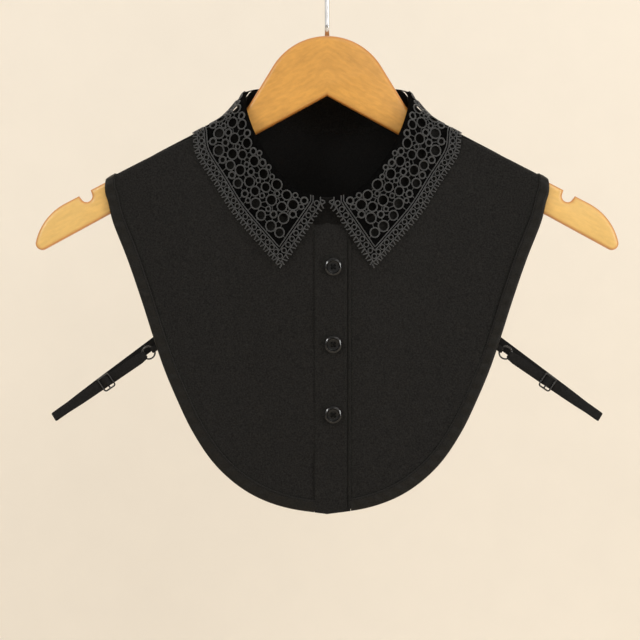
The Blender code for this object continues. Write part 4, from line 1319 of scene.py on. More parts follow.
@dataclass
class Panels:
    """The two fronts, the back and the button placket."""

    garment: Garment
    collar: CollarForm
    cloth: Cloth
    back_cloth: Cloth
    thickness: float = 0.6
    underlap: float = 15.3
    spacing: float = 4.2
    inner: dict[str, bpy.types.Object] = field(default_factory=dict)

    def place(self, flat: Vector, lift: float) -> Vector:
        """A panel's place with its creases and the groove of its shoulder seam."""
        rise = lift + self.garment.relief(flat.x, flat.y)
        rise -= 0.5 * math.exp(-((flat.y - self.garment.seam_run(flat.x)) / 0.9) ** 2)
        return self.garment.drape.point(flat.x, flat.y, rise)

    def ridge_lines(self, outline: list[Vector]) -> list[list[Vector]]:
        """Lines of points that carry a panel round the rounded shoulder."""
        drape = self.garment.drape
        runs = [drape.flat + drape.rounding * math.radians(turn) for turn in range(0, 91, 15)]
        lines = []
        for run in [-run for run in runs] + [0.0] + runs:
            line: list[Vector] = []
            for i in range(83):
                point = Vector((-164.0 + 4.0 * i, run))
                if inside(point, outline) and distance_to(point, outline) > 0.4:
                    line.append(point)
                elif line:
                    lines.append(line)
                    line = []
            if line:
                lines.append(line)
        return lines

    def front_outline(self, centre: float) -> list[Vector]:
        """Outline of a front panel to the right of its centre edge."""
        garment = self.garment
        edge = inset(garment.edge(True, 3.0), -garment.edge_trim)
        edge = clip(edge, lambda p: p.x - centre)
        edge = clip(edge, lambda p: p.y - garment.seam_run(p.x))
        neck = [Vector(self.collar.seam_at(i / 12)) for i in range(-12, 75)]
        neck = inset(neck, -garment.neck_lap)
        neck = clip(clip(neck, lambda p: p.x - centre), lambda p: p.y - garment.seam_run(p.x))
        shoulder = [edge[-1].lerp(neck[-1], i / 40) for i in range(1, 40)]
        down = [neck[0].lerp(edge[0], i / 70) for i in range(1, 70)]
        return edge + shoulder + list(reversed(neck)) + down

    def back_outline(self) -> list[Vector]:
        """Outline of the back panel."""
        garment = self.garment
        edge = inset(garment.edge(False, 3.0), garment.edge_trim)
        edge = clip(clip(edge, lambda p: -p.x), lambda p: garment.seam_run(p.x) - SEAM - p.y)
        neck = [Vector(self.collar.seam_at(LAST - i / 12)) for i in range(61)]
        neck = clip(inset(neck, garment.neck_lap),
                    lambda p: garment.seam_run(p.x) - SEAM - p.y)
        end = Vector((-edge[0].x, edge[0].y))
        shoulder = [neck[-1].lerp(end, i / 40) for i in range(1, 40)]
        half = neck + shoulder + [Vector((-p.x, p.y)) for p in edge]
        return half + [Vector((-p.x, p.y)) for p in reversed(half[1:-1])]

    def add(self, name: str, outline: list[Vector], node: str,
            material: bpy.types.Material) -> bpy.types.Object:
        """Build one hung panel."""
        mesh = SheetMaker.shell(name, outline, self.place, self.spacing, self.thickness,
                                self.ridge_lines(outline))
        thing = Outfit.add(mesh, material, "panel_cloth", (node,))
        flat_area(outline) * MM * MM
        return thing

    def placket(self, material: bpy.types.Material) -> bpy.types.Object:
        """The folded strip with its free left edge and its stitched right seam."""
        low, high = self.garment.placket
        hem = [p for p in self.garment.edge(True, 2.0) if p.y > 200]
        hem = clip(clip(hem, lambda p: p.x - low), lambda p: high - p.x)
        neck = inset([Vector(self.collar.seam_at(i / 18)) for i in range(-18, 19)],
                     -self.garment.neck_lap)
        neck = clip(clip(neck, lambda p: p.x - low), lambda p: high - p.x)
        down = [neck[0].lerp(hem[0], i / 90) for i in range(1, 90)]
        up = [hem[-1].lerp(neck[-1], i / 90) for i in range(1, 90)]
        outline = down + hem + up + list(reversed(neck))

        def place(flat: Vector, lift: float) -> Vector:
            x = flat.x
            top = min(neck, key=lambda p: abs(p.x - x)).y
            sewn = max(0.0, min(1.0, (flat.y - top) / 9.0))
            seam = -0.9 * math.exp(-((x - 15.4) / 0.6) ** 2)
            seam += 0.4 * math.exp(-((x - 13.9) / 0.7) ** 2)
            seam += 0.4 * math.exp(-((x - 16.8) / 0.7) ** 2)
            edge = -0.5 * math.exp(-((x - low) / 0.7) ** 2) - 0.5 * math.exp(-((x - high) / 0.6) ** 2)
            wave = 0.25 * math.sin(flat.y / 23.0) + 0.2 * math.sin(flat.y / 9.0 + x / 6.0)
            wave *= max(0.0, (4.0 - x) / 14.0)
            height = self.garment.placket_lift - 0.5 + seam + edge + wave
            height = 0.1 + (height - 0.1) * sewn * sewn * (3.0 - 2.0 * sewn)
            return self.garment.drape.point(flat.x, flat.y, height + lift)

        lines = []
        for x in (-8.8, -7.6, 12.6, 13.9, 14.7, 15.4, 16.1, 16.8, 17.3):
            run_low, run_high = 132.0, max(p.y for p in outline) - 1.5
            line = [Vector((x, run_low + (run_high - run_low) * i / 80)) for i in range(81)]
            lines.append([p for p in line if inside(p, outline)
                          and distance_to(p, outline) > 0.3])
        mesh = SheetMaker.shell("cloth_placket", outline, place, 2.6, self.thickness, lines)
        thing = Outfit.add(mesh, material, "panel_cloth", ("placket",))
        flat_area(outline) * MM * MM
        return thing

    def build(self) -> None:
        """Build all four pieces."""
        material = self.cloth.make()
        left = [Vector((-p.x, p.y)) for p in reversed(self.front_outline(-self.underlap))]
        self.add("cloth_front_left", left, "front_left", material)
        self.add("cloth_front_right", self.front_outline(self.underlap + SEAM),
                 "front_right", material)
        self.add("cloth_back", self.back_outline(), "back_panel", self.back_cloth.make())
        self.placket(material)


@dataclass
class Bindings:
    """Bias strips folded over the raw edges, with their puckers and stitches."""

    garment: Garment
    satin: Cloth
    thread: Thread
    thick: float = 0.75
    pucker: float = 0.28
    pucker_pitch: float = 13.0
    stitch: float = 2.1
    stitch_pitch: float = 3.0
    stitch_radius: float = 0.22

    def profile(self) -> list[tuple[float, float]]:
        """Section from the outer face's inner edge round the raw edge to the inner face."""
        band, low, high = self.garment.band, 0.2, 0.2 + self.thick
        back = -0.6 - low
        return [(band, low + 0.1), (band - 0.15, high - 0.15), (band - 0.6, high), (5.6, high),
                (3.8, high + 0.12), (2.0, high + 0.1), (0.8, high - 0.05), (0.2, high - 0.45),
                (0.0, -0.3), (0.2, back - 0.45), (1.0, back - self.thick),
                (4.0, back - self.thick), (band - 0.4, back - self.thick),
                (band, back - 0.2), (4.0, back), (1.0, back + 0.1), (0.75, -0.3),
                (1.0, low - 0.1), (4.0, low)]

    def ripple(self, length: float, depth: float) -> float:
        """Height of the slanting puckers at a length along the strip."""
        swing = length / self.pucker_pitch + depth / 14.0
        shape = math.sin(2 * math.pi * swing) + 0.5 * math.sin(2 * math.pi * (1.63 * swing + 0.3))
        middle = math.sin(math.pi * max(0.0, min(1.0, depth / self.garment.band)))
        return self.pucker * shape * middle

    def strip(self, name: str, path: list[Vector], inward: float, node: str,
              material: bpy.types.Material) -> list[tuple[Vector, Vector, float]]:
        """Build one binding and return its path with inward directions and lengths."""
        maker = Maker(name, Pattern.CLOTH)
        rings, frames, length = [], [], 0.0
        for index, point in enumerate(path):
            along = (path[min(index + 1, len(path) - 1)] - path[max(index - 1, 0)]).normalized()
            across = Vector((-along.y, along.x)) * inward
            if index == 0:
                across = Vector((0.0, across.y)) if abs(point.x) < 40 else across
            else:
                length += (point - path[index - 1]).length
            ring = []
            for depth, lift in self.profile():
                at = point + across * depth
                rise = lift + (self.ripple(length, depth) if lift > 0.2 else 0.0)
                ring.append(self.garment.drape.point(at.x, at.y, rise))
            rings.append(ring)
            frames.append((point, across, length))
        maker.tube(rings, False)
        mesh = maker.done(sharp=math.radians(60))
        thing = Outfit.add(mesh, material, "binding", (node,))
        return frames

    def stitches(self, maker: Maker, frames: list[tuple[Vector, Vector, float]]) -> None:
        """Add a row of stitches along a binding's inner edge."""
        total = frames[-1][2]
        count = int(total / self.stitch_pitch)
        index = 0
        for number in range(count):
            middle = (number + 0.5) * self.stitch_pitch
            ring_set = []
            for step in range(5):
                at = middle + self.stitch * (step / 4 - 0.5)
                while index < len(frames) - 2 and frames[index + 1][2] < at:
                    index += 1
                while index > 0 and frames[index][2] > at:
                    index -= 1
                first, second = frames[index], frames[index + 1]
                share = (at - first[2]) / max(second[2] - first[2], 1e-6)
                flat = first[0].lerp(second[0], share)
                across = first[1].lerp(second[1], share)
                dip = 0.25 * math.cos(math.pi * (step / 4 - 0.5))
                flat = flat + across * (self.garment.band - 1.1)
                ring = []
                for side in range(6):
                    turn = 2 * math.pi * side / 6
                    spot = flat + across * self.stitch_radius * math.cos(turn)
                    lift = 0.2 + self.thick - 0.12 + dip + self.stitch_radius * math.sin(turn)
                    ring.append(self.garment.drape.point(spot.x, spot.y, lift))
                ring_set.append(ring)
            maker.tube(ring_set, False)

    def build(self) -> None:
        """Build the three bindings and their stitching."""
        garment = self.garment
        material = self.satin.make()
        whole = garment.edge(True, 2.2)
        gap = SEAM / 2
        low, high = garment.placket
        right = clip(clip(whole, lambda p: p.x - high - SEAM),
                     lambda p: p.y - garment.seam_run(p.x) - gap)
        left = clip(clip(whole, lambda p: low - SEAM - p.x),
                    lambda p: p.y - garment.seam_run(p.x) - gap)
        back = clip(garment.edge(False, 2.2), lambda p: garment.seam_run(p.x) - gap - p.y)
        maker = Maker("stitching_binding", Pattern.THREAD)
        runs = (("binding_strip_right", right, -1.0, "binding_right"),
                ("binding_strip_left", list(reversed(left)), 1.0, "binding_left"),
                ("binding_strip_back", back, 1.0, "binding_back"))
        for name, path, inward, node in runs:
            self.stitches(maker, self.strip(name, path, inward, node, material))
        Outfit.add(maker.done(), self.thread.make(), "binding")


# Collar pieces


class Section(NamedTuple):
    """Width and height of a cord and how far its middle lies below the leaf's face."""

    width: float
    height: float
    sink: float
    sides: int


RING_SECTION = Section(0.95, 0.95, 0.45, 8)
LINE_SECTION = Section(0.80, 0.85, 0.42, 6)
BAR_SECTION = Section(0.60, 0.50, 0.70, 6)
TUFT_SECTION = Section(0.90, 0.80, 0.50, 6)


@dataclass
class LaceLeaf:
    """The pointed leaf of ring lace, worked out on the right and mirrored to the left."""

    form: CollarForm
    thread: Thread
    shade_sheet_finish: Cloth
    row_pitch: float = 4.6
    line_depths: tuple[float, ...] = (4.6, 10.1, 11.9)
    row_depth: float = 7.4
    row_ring: float = 4.5
    tuft_depths: tuple[float, float] = (4.3, 0.9)
    tuft_pitch: float = 2.3
    tuft_lean: float = math.radians(18.0)
    lump: float = 0.12
    bar_reach: float = 4.2
    # A near-black sheet just under the cords paints the shade between them.
    shade_sheet_depth: float = 3.9
    shade_sheet_lift: float = -0.7
    shade_sheet_wall: float = 0.25

    def section(self, flat: Vector, ahead: Vector, cord: Section) -> list[Vector]:
        """One section of a cord at a flat point that heads for another."""
        point = self.form.place(flat, -cord.sink)
        up = (self.form.place(flat, 1.0 - cord.sink) - point).normalized()
        along = (self.form.place(ahead, -cord.sink) - point).normalized()
        side = along.cross(up).normalized()
        up = side.cross(along)
        ring = []
        for i in range(cord.sides):
            turn = 2 * math.pi * i / cord.sides
            ring.append(point + (side * math.cos(turn) * cord.width / 2
                                 + up * math.sin(turn) * cord.height / 2) * MM)
        return ring

    def cord(self, path: list[Vector], cord: Section, closed: bool) -> list[list[Vector]]:
        """Sections of a cord along a flat path."""
        rings = []
        for index, flat in enumerate(path):
            if closed or index < len(path) - 1:
                ahead = path[(index + 1) % len(path)]
            else:
                ahead = flat * 2 - path[index - 1]
            swell = 1.0 + self.lump * math.sin(index * 2.2)
            rings.append(self.section(flat, ahead, cord._replace(width=cord.width * swell)))
        return rings

    def circle(self, flat: Vector, radius: float, steps: int) -> list[Vector]:
        """Flat points of a circle that keeps its size on the leaf."""
        first, second = self.form.steps_at(flat)
        turns = [2 * math.pi * i / steps for i in range(steps)]
        return [flat + (first * math.cos(turn) + second * math.sin(turn)) * radius
                for turn in turns]

    def headings(self, path: list[Vector]) -> list[float]:
        """Angle of a flat path on the leaf at each point."""
        angles = []
        for index, flat in enumerate(path):
            first, second = self.form.steps_at(flat)
            move = path[min(index + 1, len(path) - 1)] - path[max(index - 1, 0)]
            down = move.y / second.y
            right = (move.x - second.x * down) / first.x
            angles.append(math.atan2(down, right))
        return angles

    def row_spots(self) -> list[Vector]:
        """Flat centres of the small rings in the border's row."""
        return [flat for part in self.form.border(self.row_depth, self.row_pitch)
                for flat in part if flat.y > 2.5 and flat.x < self.form.lengths[-1] - 2.0]

    def tufts(self) -> list[tuple[list[list[Vector]], bool]]:
        """Short thick tufts that stand out from the edge, leaning by turns to either side."""
        found = []
        half = (self.tuft_depths[0] - self.tuft_depths[1]) / 2
        for part in self.form.border(sum(self.tuft_depths) / 2, self.tuft_pitch):
            for index, (flat, angle) in enumerate(zip(part, self.headings(part))):
                if flat.y < 2.0:
                    continue
                first, second = self.form.steps_at(flat)
                turn = angle + math.pi / 2 + self.tuft_lean * (-1) ** index
                step = (first * math.cos(turn) + second * math.sin(turn)) * half
                path = [flat + step * share for share in (-1.0, -0.3, 0.4, 1.0)]
                found.append((self.cord(path, TUFT_SECTION, False), False))
        return found

    def cords(self, rings: list[Ring]) -> list[tuple[list[list[Vector]], bool]]:
        """Every cord of the right leaf as sections and whether it closes."""
        form = self.form
        found: list[tuple[list[list[Vector]], bool]] = []
        for ring in rings:
            radius = (ring.size.outer - ring.size.cord) / 2
            path = self.circle(ring.flat, radius, 28 if ring.size.outer > 7 else 20)
            section = RING_SECTION._replace(width=ring.size.cord)
            found.append((self.cord(path, section, True), True))
        for depth in self.line_depths:
            front, outer = form.border(depth, 2.0)
            for path in (front + outer[:1], outer):
                found.append((self.cord(path, LINE_SECTION, False), False))
        for flat in self.row_spots():
            path = self.circle(flat, (self.row_ring - LINE_SECTION.width) / 2, 16)
            found.append((self.cord(path, LINE_SECTION, True), True))
        return found + self.tufts() + self.bars(rings)

    def bars(self, rings: list[Ring]) -> list[tuple[list[list[Vector]], bool]]:
        """Short bars that link each ring to its neighbours and to the border."""
        form = self.form
        found = []
        for index, ring in enumerate(rings):
            for other in rings[index + 1:]:
                apart = (ring.point - other.point).length
                gap = apart - (ring.size.outer + other.size.outer) / 2
                if gap > self.bar_reach:
                    continue
                start = (ring.size.outer / 2 - 0.7) / apart
                end = 1.0 - (other.size.outer / 2 - 0.7) / apart
                path = [ring.flat.lerp(other.flat, start + (end - start) * i / 3)
                        for i in range(4)]
                middle = form.place(path[0].lerp(path[3], 0.5)) / MM
                if any((middle - third.point).length < third.size.outer / 2
                       for third in rings if third is not ring and third is not other):
                    continue
                found.append((self.cord(path, BAR_SECTION, False), False))
        inner = form.border(self.line_depths[-1], 1.5)
        edge = [(flat, form.place(flat) / MM) for part in inner for flat in part]
        for ring in rings:
            flat, point = min(edge, key=lambda item: (item[1] - ring.point).length)
            apart = (point - ring.point).length
            if apart - ring.size.outer / 2 < self.bar_reach:
                start = (ring.size.outer / 2 - 0.7) / apart
                path = [ring.flat.lerp(flat, start + (1.0 - start) * i / 3) for i in range(4)]
                found.append((self.cord(path, BAR_SECTION, False), False))
        return found

    def shade_sheet(self, rings: list[Ring]) -> tuple[bpy.types.Mesh, float]:
        """The right leaf's near-black sheet of painted shade between the cords, open inside every
        ring, and its flat area.
        """
        form = self.form
        front, outer = form.border(self.shade_sheet_depth, 2.0)
        last = form.lengths[-1] - 0.25
        outer = [Vector((min(p.x, last), p.y)) for p in outer]
        back = [Vector((last, outer[-1].y * (1 - i / 16))) for i in range(1, 17)]
        fold = [back[-1].lerp(front[0], i / 120) for i in range(1, 120)]
        outline = front + outer + back + fold
        holes = [self.circle(ring.flat, ring.size.outer / 2 - 0.8 * ring.size.cord, 14)
                 for ring in rings]
        holes += [self.circle(flat, self.row_ring / 2 - 0.8 * LINE_SECTION.width, 10)
                  for flat in self.row_spots()]
        mesh = SheetMaker.shell("lace_shade_sheet_right", outline,
                                lambda flat, lift: form.place(flat, lift + self.shade_sheet_lift),
                                2.3, self.shade_sheet_wall, holes=holes)
        return mesh, flat_area(outline) - sum(flat_area(hole) for hole in holes)

    def build(self) -> None:
        """Build both leaves: the cords and the near-black sheet under them, painted shade between the
        cords.
        """
        material, dark = self.thread.make(), self.shade_sheet_finish.make()
        rings = self.form.rings()
        cords = self.cords(rings)
        shade_sheet, area = self.shade_sheet(rings)
        other = shade_sheet.copy()
        other.name = "lace_shade_sheet_left"
        other.transform(Matrix.Scale(-1.0, 4, (1.0, 0.0, 0.0)))
        other.flip_normals()
        for side, label, mesh in ((Side.RIGHT, "right", shade_sheet), (Side.LEFT, "left", other)):
            maker = Maker(f"lace_leaf_{label}", Pattern.THREAD)
            for number, (sections, closed) in enumerate(cords):
                placed = [[Vector((p.x * side.value, p.y, p.z)) for p in ring]
                          for ring in sections]
                maker.tube(placed, closed, number * 0.0371)
            leaf = Outfit.add(maker.done(), material, "lace", (f"lace_{label}",))
            under = Outfit.add(mesh, dark, "lace", (f"lace_{label}",))


@dataclass
class Stand:
    """The collar's folded stand, from its fold down to the neck seam."""

    form: CollarForm
    garment: Garment
    cloth: Cloth
    rise: int = 10
    steps: int = 14

    def point(self, turn: float, share: float, out: float) -> Vector:
        """A place on the stand all the way round the neck."""
        flip = 1.0
        if turn < 0:
            turn, flip = -turn, -1.0
        elif turn > LAST:
            turn, flip = 2 * LAST - turn, -1.0
        x, y, z = self.form.fold_at(turn)
        run, height = self.form.drape.foot(x, y, z)
        top = self.form.drape.point(x, run, height + out)
        x, run = self.form.seam_at(turn)
        point = top.lerp(self.form.drape.point(x, run, out - WALL), share)
        return Vector((point.x * flip, point.y, point.z))

    def build(self) -> None:
        """Build the stand as one closed sweep with a rolled top."""
        start = self.garment.placket[0] / STATIONS[1].fold_x
        end = 2 * LAST + start - SEAM / STATIONS[1].fold_x
        count = round((end - start) * self.steps)
        maker = Maker("collar_stand_cloth", Pattern.CLOTH)
        rings = []
        for step in range(count + 1):
            turn = start + (end - start) * step / count
            inner = [self.point(turn, j / self.rise, 0.1) for j in range(self.rise + 1)]
            outer = [self.point(turn, j / self.rise, WALL) for j in range(self.rise, -1, -1)]
            inner[0] = inner[0].lerp(inner[1], 0.12)
            outer[-1] = outer[-1].lerp(outer[-2], 0.12)
            crown = self.point(turn, 0.0, WALL * 0.55)
            rings.append(inner + outer + [crown])
        maker.tube(rings, False)
        mesh = maker.done(sharp=math.radians(60))
        thing = Outfit.add(mesh, self.cloth.make(), "panel_cloth", ("collar_stand",))


# Buttons and straps


@dataclass
class Buttons:
    """Three round buttons with a raised rim, sewn on through four holes."""

    garment: Garment
    plastic: Polished
    thread: Thread
    x: float = 4.6
    heights: tuple[float, ...] = (-246.6, -305.3, -358.7)
    radius: float = 6.6
    hole_radius: float = 0.85
    hole_at: float = 1.55

    def profile(self) -> list[tuple[float, float]]:
        """Radius and height, from the back's middle round the rim to the dish."""
        radius = self.radius
        return [(0.0, 0.1), (5.0, 0.1), (5.9, 0.35), (radius - 0.15, 0.75), (radius, 1.2),
                (radius - 0.1, 1.5), (radius - 0.35, 1.7), (5.35, 2.22), (5.15, 2.26),
                (4.9, 2.2), (4.6, 1.85), (4.3, 1.55), (4.0, 1.45), (3.6, 1.42), (3.2, 1.4),
                (0.0, 1.4)]

    def disc(self, name: str) -> bpy.types.Mesh:
        """A turned button with its four holes cut."""
        work = bmesh.new()
        rows = []
        for radius, height in self.profile():
            if radius == 0.0:
                rows.append([work.verts.new((0.0, 0.0, height * MM))])
                continue
            rows.append([work.verts.new((radius * MM * math.cos(2 * math.pi * i / 64),
                                         radius * MM * math.sin(2 * math.pi * i / 64),
                                         height * MM)) for i in range(64)])
        for row, after in zip(rows, rows[1:]):
            for i in range(64):
                j = (i + 1) % 64
                if len(row) == 1:
                    work.faces.new((row[0], after[j], after[i]))
                elif len(after) == 1:
                    work.faces.new((row[i], row[j], after[0]))
                else:
                    work.faces.new((row[i], row[j], after[j], after[i]))
        bmesh.ops.recalc_face_normals(work, faces=work.faces)
        mesh = bpy.data.meshes.new(name)
        work.to_mesh(mesh)
        work.free()
        return mesh

    def cut(self, thing: bpy.types.Object) -> None:
        """Cut the four holes and apply the cut."""
        work = bmesh.new()
        for number in range(4):
            turn = math.pi / 4 + math.pi / 2 * number
            spot = Vector((math.cos(turn), math.sin(turn), 0.0)) * self.hole_at * MM
            bmesh.ops.create_cone(work, cap_ends=True, segments=20,
                                  radius1=self.hole_radius * MM, radius2=self.hole_radius * MM,
                                  depth=6 * MM, matrix=Matrix.Translation(spot))
        cutter_mesh = bpy.data.meshes.new("button_holes")
        work.to_mesh(cutter_mesh)
        work.free()
        cutter = bpy.data.objects.new("button_holes", cutter_mesh)
        bpy.context.scene.collection.objects.link(cutter)
        cut = thing.modifiers.new("Holes", "BOOLEAN")
        cut.operation = "DIFFERENCE"
        cut.object = cutter
        graph = bpy.context.evaluated_depsgraph_get()
        graph.update()
        made = bpy.data.meshes.new_from_object(thing.evaluated_get(graph))
        thing.modifiers.clear()
        old = thing.data
        made.name = old.name
        thing.data = made
        bpy.data.meshes.remove(old)
        bpy.data.objects.remove(cutter)
        for polygon in made.polygons:
            polygon.use_smooth = True
        made.set_sharp_from_angle(angle=math.radians(17))

    def sew(self, maker: Maker, matrix: Matrix) -> None:
        """Add the two bars of thread through the holes."""
        for number in range(2):
            lean = math.pi / 4 + math.pi / 2 * number
            along = Vector((math.cos(lean), math.sin(lean), 0.0))
            side = Vector((-along.y, along.x, 0.0))
            for strand in (-0.28, 0.28):
                rings = []
                for step in range(9):
                    share = step / 8 * 2 - 1
                    height = 1.75 + 0.15 * number - 1.3 * abs(share) ** 6
                    middle = along * share * (self.hole_at + 0.15) + side * strand
                    ring = []
                    for i in range(6):
                        turn = 2 * math.pi * i / 6
                        spot = middle + side * 0.24 * math.cos(turn)
                        spot.z = height + 0.24 * math.sin(turn)
                        ring.append(matrix @ (spot * MM))
                    rings.append(ring)
                maker.tube(rings, False)

    def build(self) -> None:
        """Build the buttons and their thread."""
        material = self.plastic.make()
        maker = Maker("stitching_buttons", Pattern.THREAD)
        drape, lift = self.garment.drape, self.garment.placket_lift
        for number, height in enumerate(self.heights, 1):
            mesh = self.disc(f"button_disc_{number}")
            face = drape.point(self.x, drape.run_at(self.x, height), lift)
            above = drape.point(self.x, drape.run_at(self.x, height + self.radius), lift)
            tilt = math.atan2(above.y - face.y, above.z - face.z)
            thing = bpy.data.objects.new(mesh.name, mesh)
            bpy.context.scene.collection.objects.link(thing)
            self.cut(thing)
            mesh = thing.data
            bpy.data.objects.remove(thing)
            matrix = Matrix.Translation(face + Vector((0.0, -SEAM * MM, 0.0)))
            matrix = matrix @ Matrix.Rotation(math.pi / 2 - tilt, 4, "X")
            mesh.transform(matrix)
            mesh.name = f"button_disc_{number}"
            Outfit.add(mesh, material, "button", (f"button_{number}",))
            self.sew(maker, matrix)
        Outfit.add(maker.done(), self.thread.make(), "button")


class RibbonStop(NamedTuple):
    """A place along a ribbon, its width direction and its width."""

    point: Vector
    across: Vector
    width: float


@dataclass
class Strap:
    """Elastic, ring, slider and ring tab of one side."""

    side: Side
    elastic: Elastic
    metal: Metal
    width: float = 8.0
    wall: float = 0.9
    ring_centre: tuple[float, float, float] = (136.1, -5.2, -311.7)
    end: tuple[float, float, float] = (208.9, 0.0, -361.2)
    back: tuple[float, float, float] = (121.0, 6.2, -295.7)
    twist: float = math.radians(38.0)
    ring_radius: float = 4.85
    ring_wire: float = 0.65
    at_ring: float = 4.6
    slider_at: float = 39.5
    slider_bar: float = 1.3
    slider_slot: float = 3.3
    slider_high: float = 12.0

    @property
    def along(self) -> Vector:
        """Direction from the ring to the strap's end."""
        return (Vector(self.end) - Vector(self.ring_centre)).normalized()

    def frame(self, share: float) -> tuple[Vector, Vector]:
        """Directions across the strap and to its back at a share of its length."""
        flat = Vector((self.along.x, 0.0, self.along.z)).normalized()
        across = Vector((-flat.z, 0.0, flat.x))
        turn = self.twist * max(0.0, (share - 0.55) / 0.45) ** 1.5
        back = Vector((0.0, 1.0, 0.0))
        return across * math.cos(turn) + back * math.sin(turn), \
            back * math.cos(turn) - across * math.sin(turn)

    def stop(self, distance: float, depth: float) -> RibbonStop:
        """Ribbon stop at a distance from the ring and a depth behind the strap's middle."""
        start, end = Vector(self.ring_centre), Vector(self.end)
        share = distance / (end - start).length
        across, back = self.frame(share)
        wide = min(1.0, max(0.0, (abs(distance) - 2.6) / 2.9))
        width = self.at_ring + (self.width - self.at_ring) * wide
        return RibbonStop(start.lerp(end, share) + back * depth, across, width)

    def round_ring(self, side: float, steps: int = 8) -> list[tuple[float, float]]:
        """Places of a ribbon that turns round the ring's wire."""
        radius = 1.45
        return [(side * (self.ring_radius - 0.5 - radius * math.sin(math.pi * i / steps)),
                 -radius * math.cos(math.pi * i / steps)) for i in range(steps + 1)]

    def stops(self) -> list[RibbonStop]:
        """The elastic from the back panel to its fold, the slider and the ring."""
        length = (Vector(self.end) - Vector(self.ring_centre)).length
        turn_at = length - 1.0
        end = self.stop(turn_at, 0.65).point
        start, level = Vector(self.back), self.frame(0.0)[0]
        found = []
        for step in range(9):
            share = step / 9
            wide = self.frame(share)[0]
            found.append(RibbonStop(start.lerp(end, share), level if share < 0.55 else wide,
                                    self.width))
        fold = [(turn_at + 0.65 * math.sin(math.pi * i / 4), 0.65 * math.cos(math.pi * i / 4))
                for i in range(5)]
        pitch = self.slider_bar + self.slider_slot
        weave = 1.3
        front = [(78.0, -0.5), (66.0, -0.3), (56.0, 0.0), (49.0, 0.4)]
        front += [(self.slider_at + offset, depth) for offset, depth in (
            (pitch + 1.2, weave), (pitch - 0.6, weave), (0.6, -weave), (-0.6, -weave),
            (0.6 - pitch, weave), (-pitch - 1.2, weave), (-pitch - 5.0, 0.2))]
        front += [(18.0, -1.2), (9.0, -1.45)]
        behind = [(9.0, 1.45), (18.0, 1.5), (28.0, 2.2), (32.5, 2.9), (37.5, 3.0)]
        places = fold + front + self.round_ring(1.0) + behind
        return found + [self.stop(distance, depth) for distance, depth in places]

    def ribbon(self, name: str, stops: list[RibbonStop], node: str) -> bpy.types.Object:
        """A ribbon with rounded edges through its stops."""
        maker = Maker(name, Pattern.CLOTH)
        rings = []
        for index in range(len(stops) - 1):
            for step in range(4):
                rings.append(self.between(stops, index, step / 4))
        rings.append(self.between(stops, len(stops) - 2, 1.0))
        maker.tube(rings, False)
        mesh = maker.done(sharp=math.radians(75))
        for loop in mesh.uv_layers[Pattern.CLOTH.value].data:
            loop.uv = (loop.uv[0], loop.uv[1] * 2 * self.width * MM)
        return Outfit.add(mesh, self.elastic.make(), "elastic", (node,))

    def between(self, stops: list[RibbonStop], index: int, t: float) -> list[Vector]:
        """The ribbon's section between two stops."""
        rows = [stops[max(0, min(len(stops) - 1, index + i))] for i in range(-1, 3)]
        reach = (rows[2].point - rows[1].point).length

        def leave(before: RibbonStop, here: RibbonStop, after: RibbonStop) -> Vector:
            move = (after.point - before.point).normalized()
            return move * reach

        first = leave(rows[0], rows[1], rows[2])
        last = leave(rows[1], rows[2], rows[3])
        point = hermite(rows[1].point, rows[2].point, first, last, t)
        nearby = hermite(rows[1].point, rows[2].point, first, last, t + 0.02)
        across = rows[1].across.lerp(rows[2].across, t).normalized()
        width = rows[1].width + (rows[2].width - rows[1].width) * t
        face = (nearby - point).normalized().cross(across).normalized()
        half, rim = self.wall / 2, 0.3
        ring = []
        for wide, deep in ((-0.5, 0.0), (-0.5, -0.55), (-0.47, -1.0), (0.0, -1.06), (0.47, -1.0),
                           (0.5, -0.55), (0.5, 0.0), (0.5, 0.55), (0.47, 1.0), (0.0, 1.06),
                           (-0.47, 1.0), (-0.5, 0.55)):
            slip = rim * (1.0 - abs(deep)) * (1 if wide > 0 else -1) if abs(wide) == 0.5 else 0.0
            at = point + across * (wide * (width - 2 * rim) + slip) + face * deep * half
            ring.append(Vector((at.x * self.side.value, at.y, at.z)) * MM)
        return ring

    def matrix(self, distance: float, shift: float = 0.0) -> Matrix:
        """Placing for a flat piece in the strap's plane, its face to the front."""
        stop = self.stop(distance, 0.0)
        point = stop.point + stop.across * shift
        flip = Vector((self.side.value, 1.0, 1.0))
        point, along, across = point * flip, self.along * flip, stop.across * flip
        front = along.cross(across)
        axes = Matrix((along, across, front)).transposed().to_4x4()
        return Matrix.Translation(point * MM) @ axes

    def ring(self, name: str, node: str, material: bpy.types.Material) -> None:
        """The wire ring."""
        maker = Maker(name, Pattern.THREAD)
        rings = []
        for i in range(48):
            turn = 2 * math.pi * i / 48
            out = Vector((math.cos(turn), math.sin(turn), 0.0))
            ring = []
            for j in range(12):
                lean = 2 * math.pi * j / 12
                spot = out * (self.ring_radius + self.ring_wire * math.cos(lean))
                spot.z = self.ring_wire * math.sin(lean)
                ring.append(self.matrix(0.0) @ (spot * MM))
            rings.append(ring)
        maker.tube(rings, True)
        Outfit.add(maker.done(), material, "black_metal", (node,))

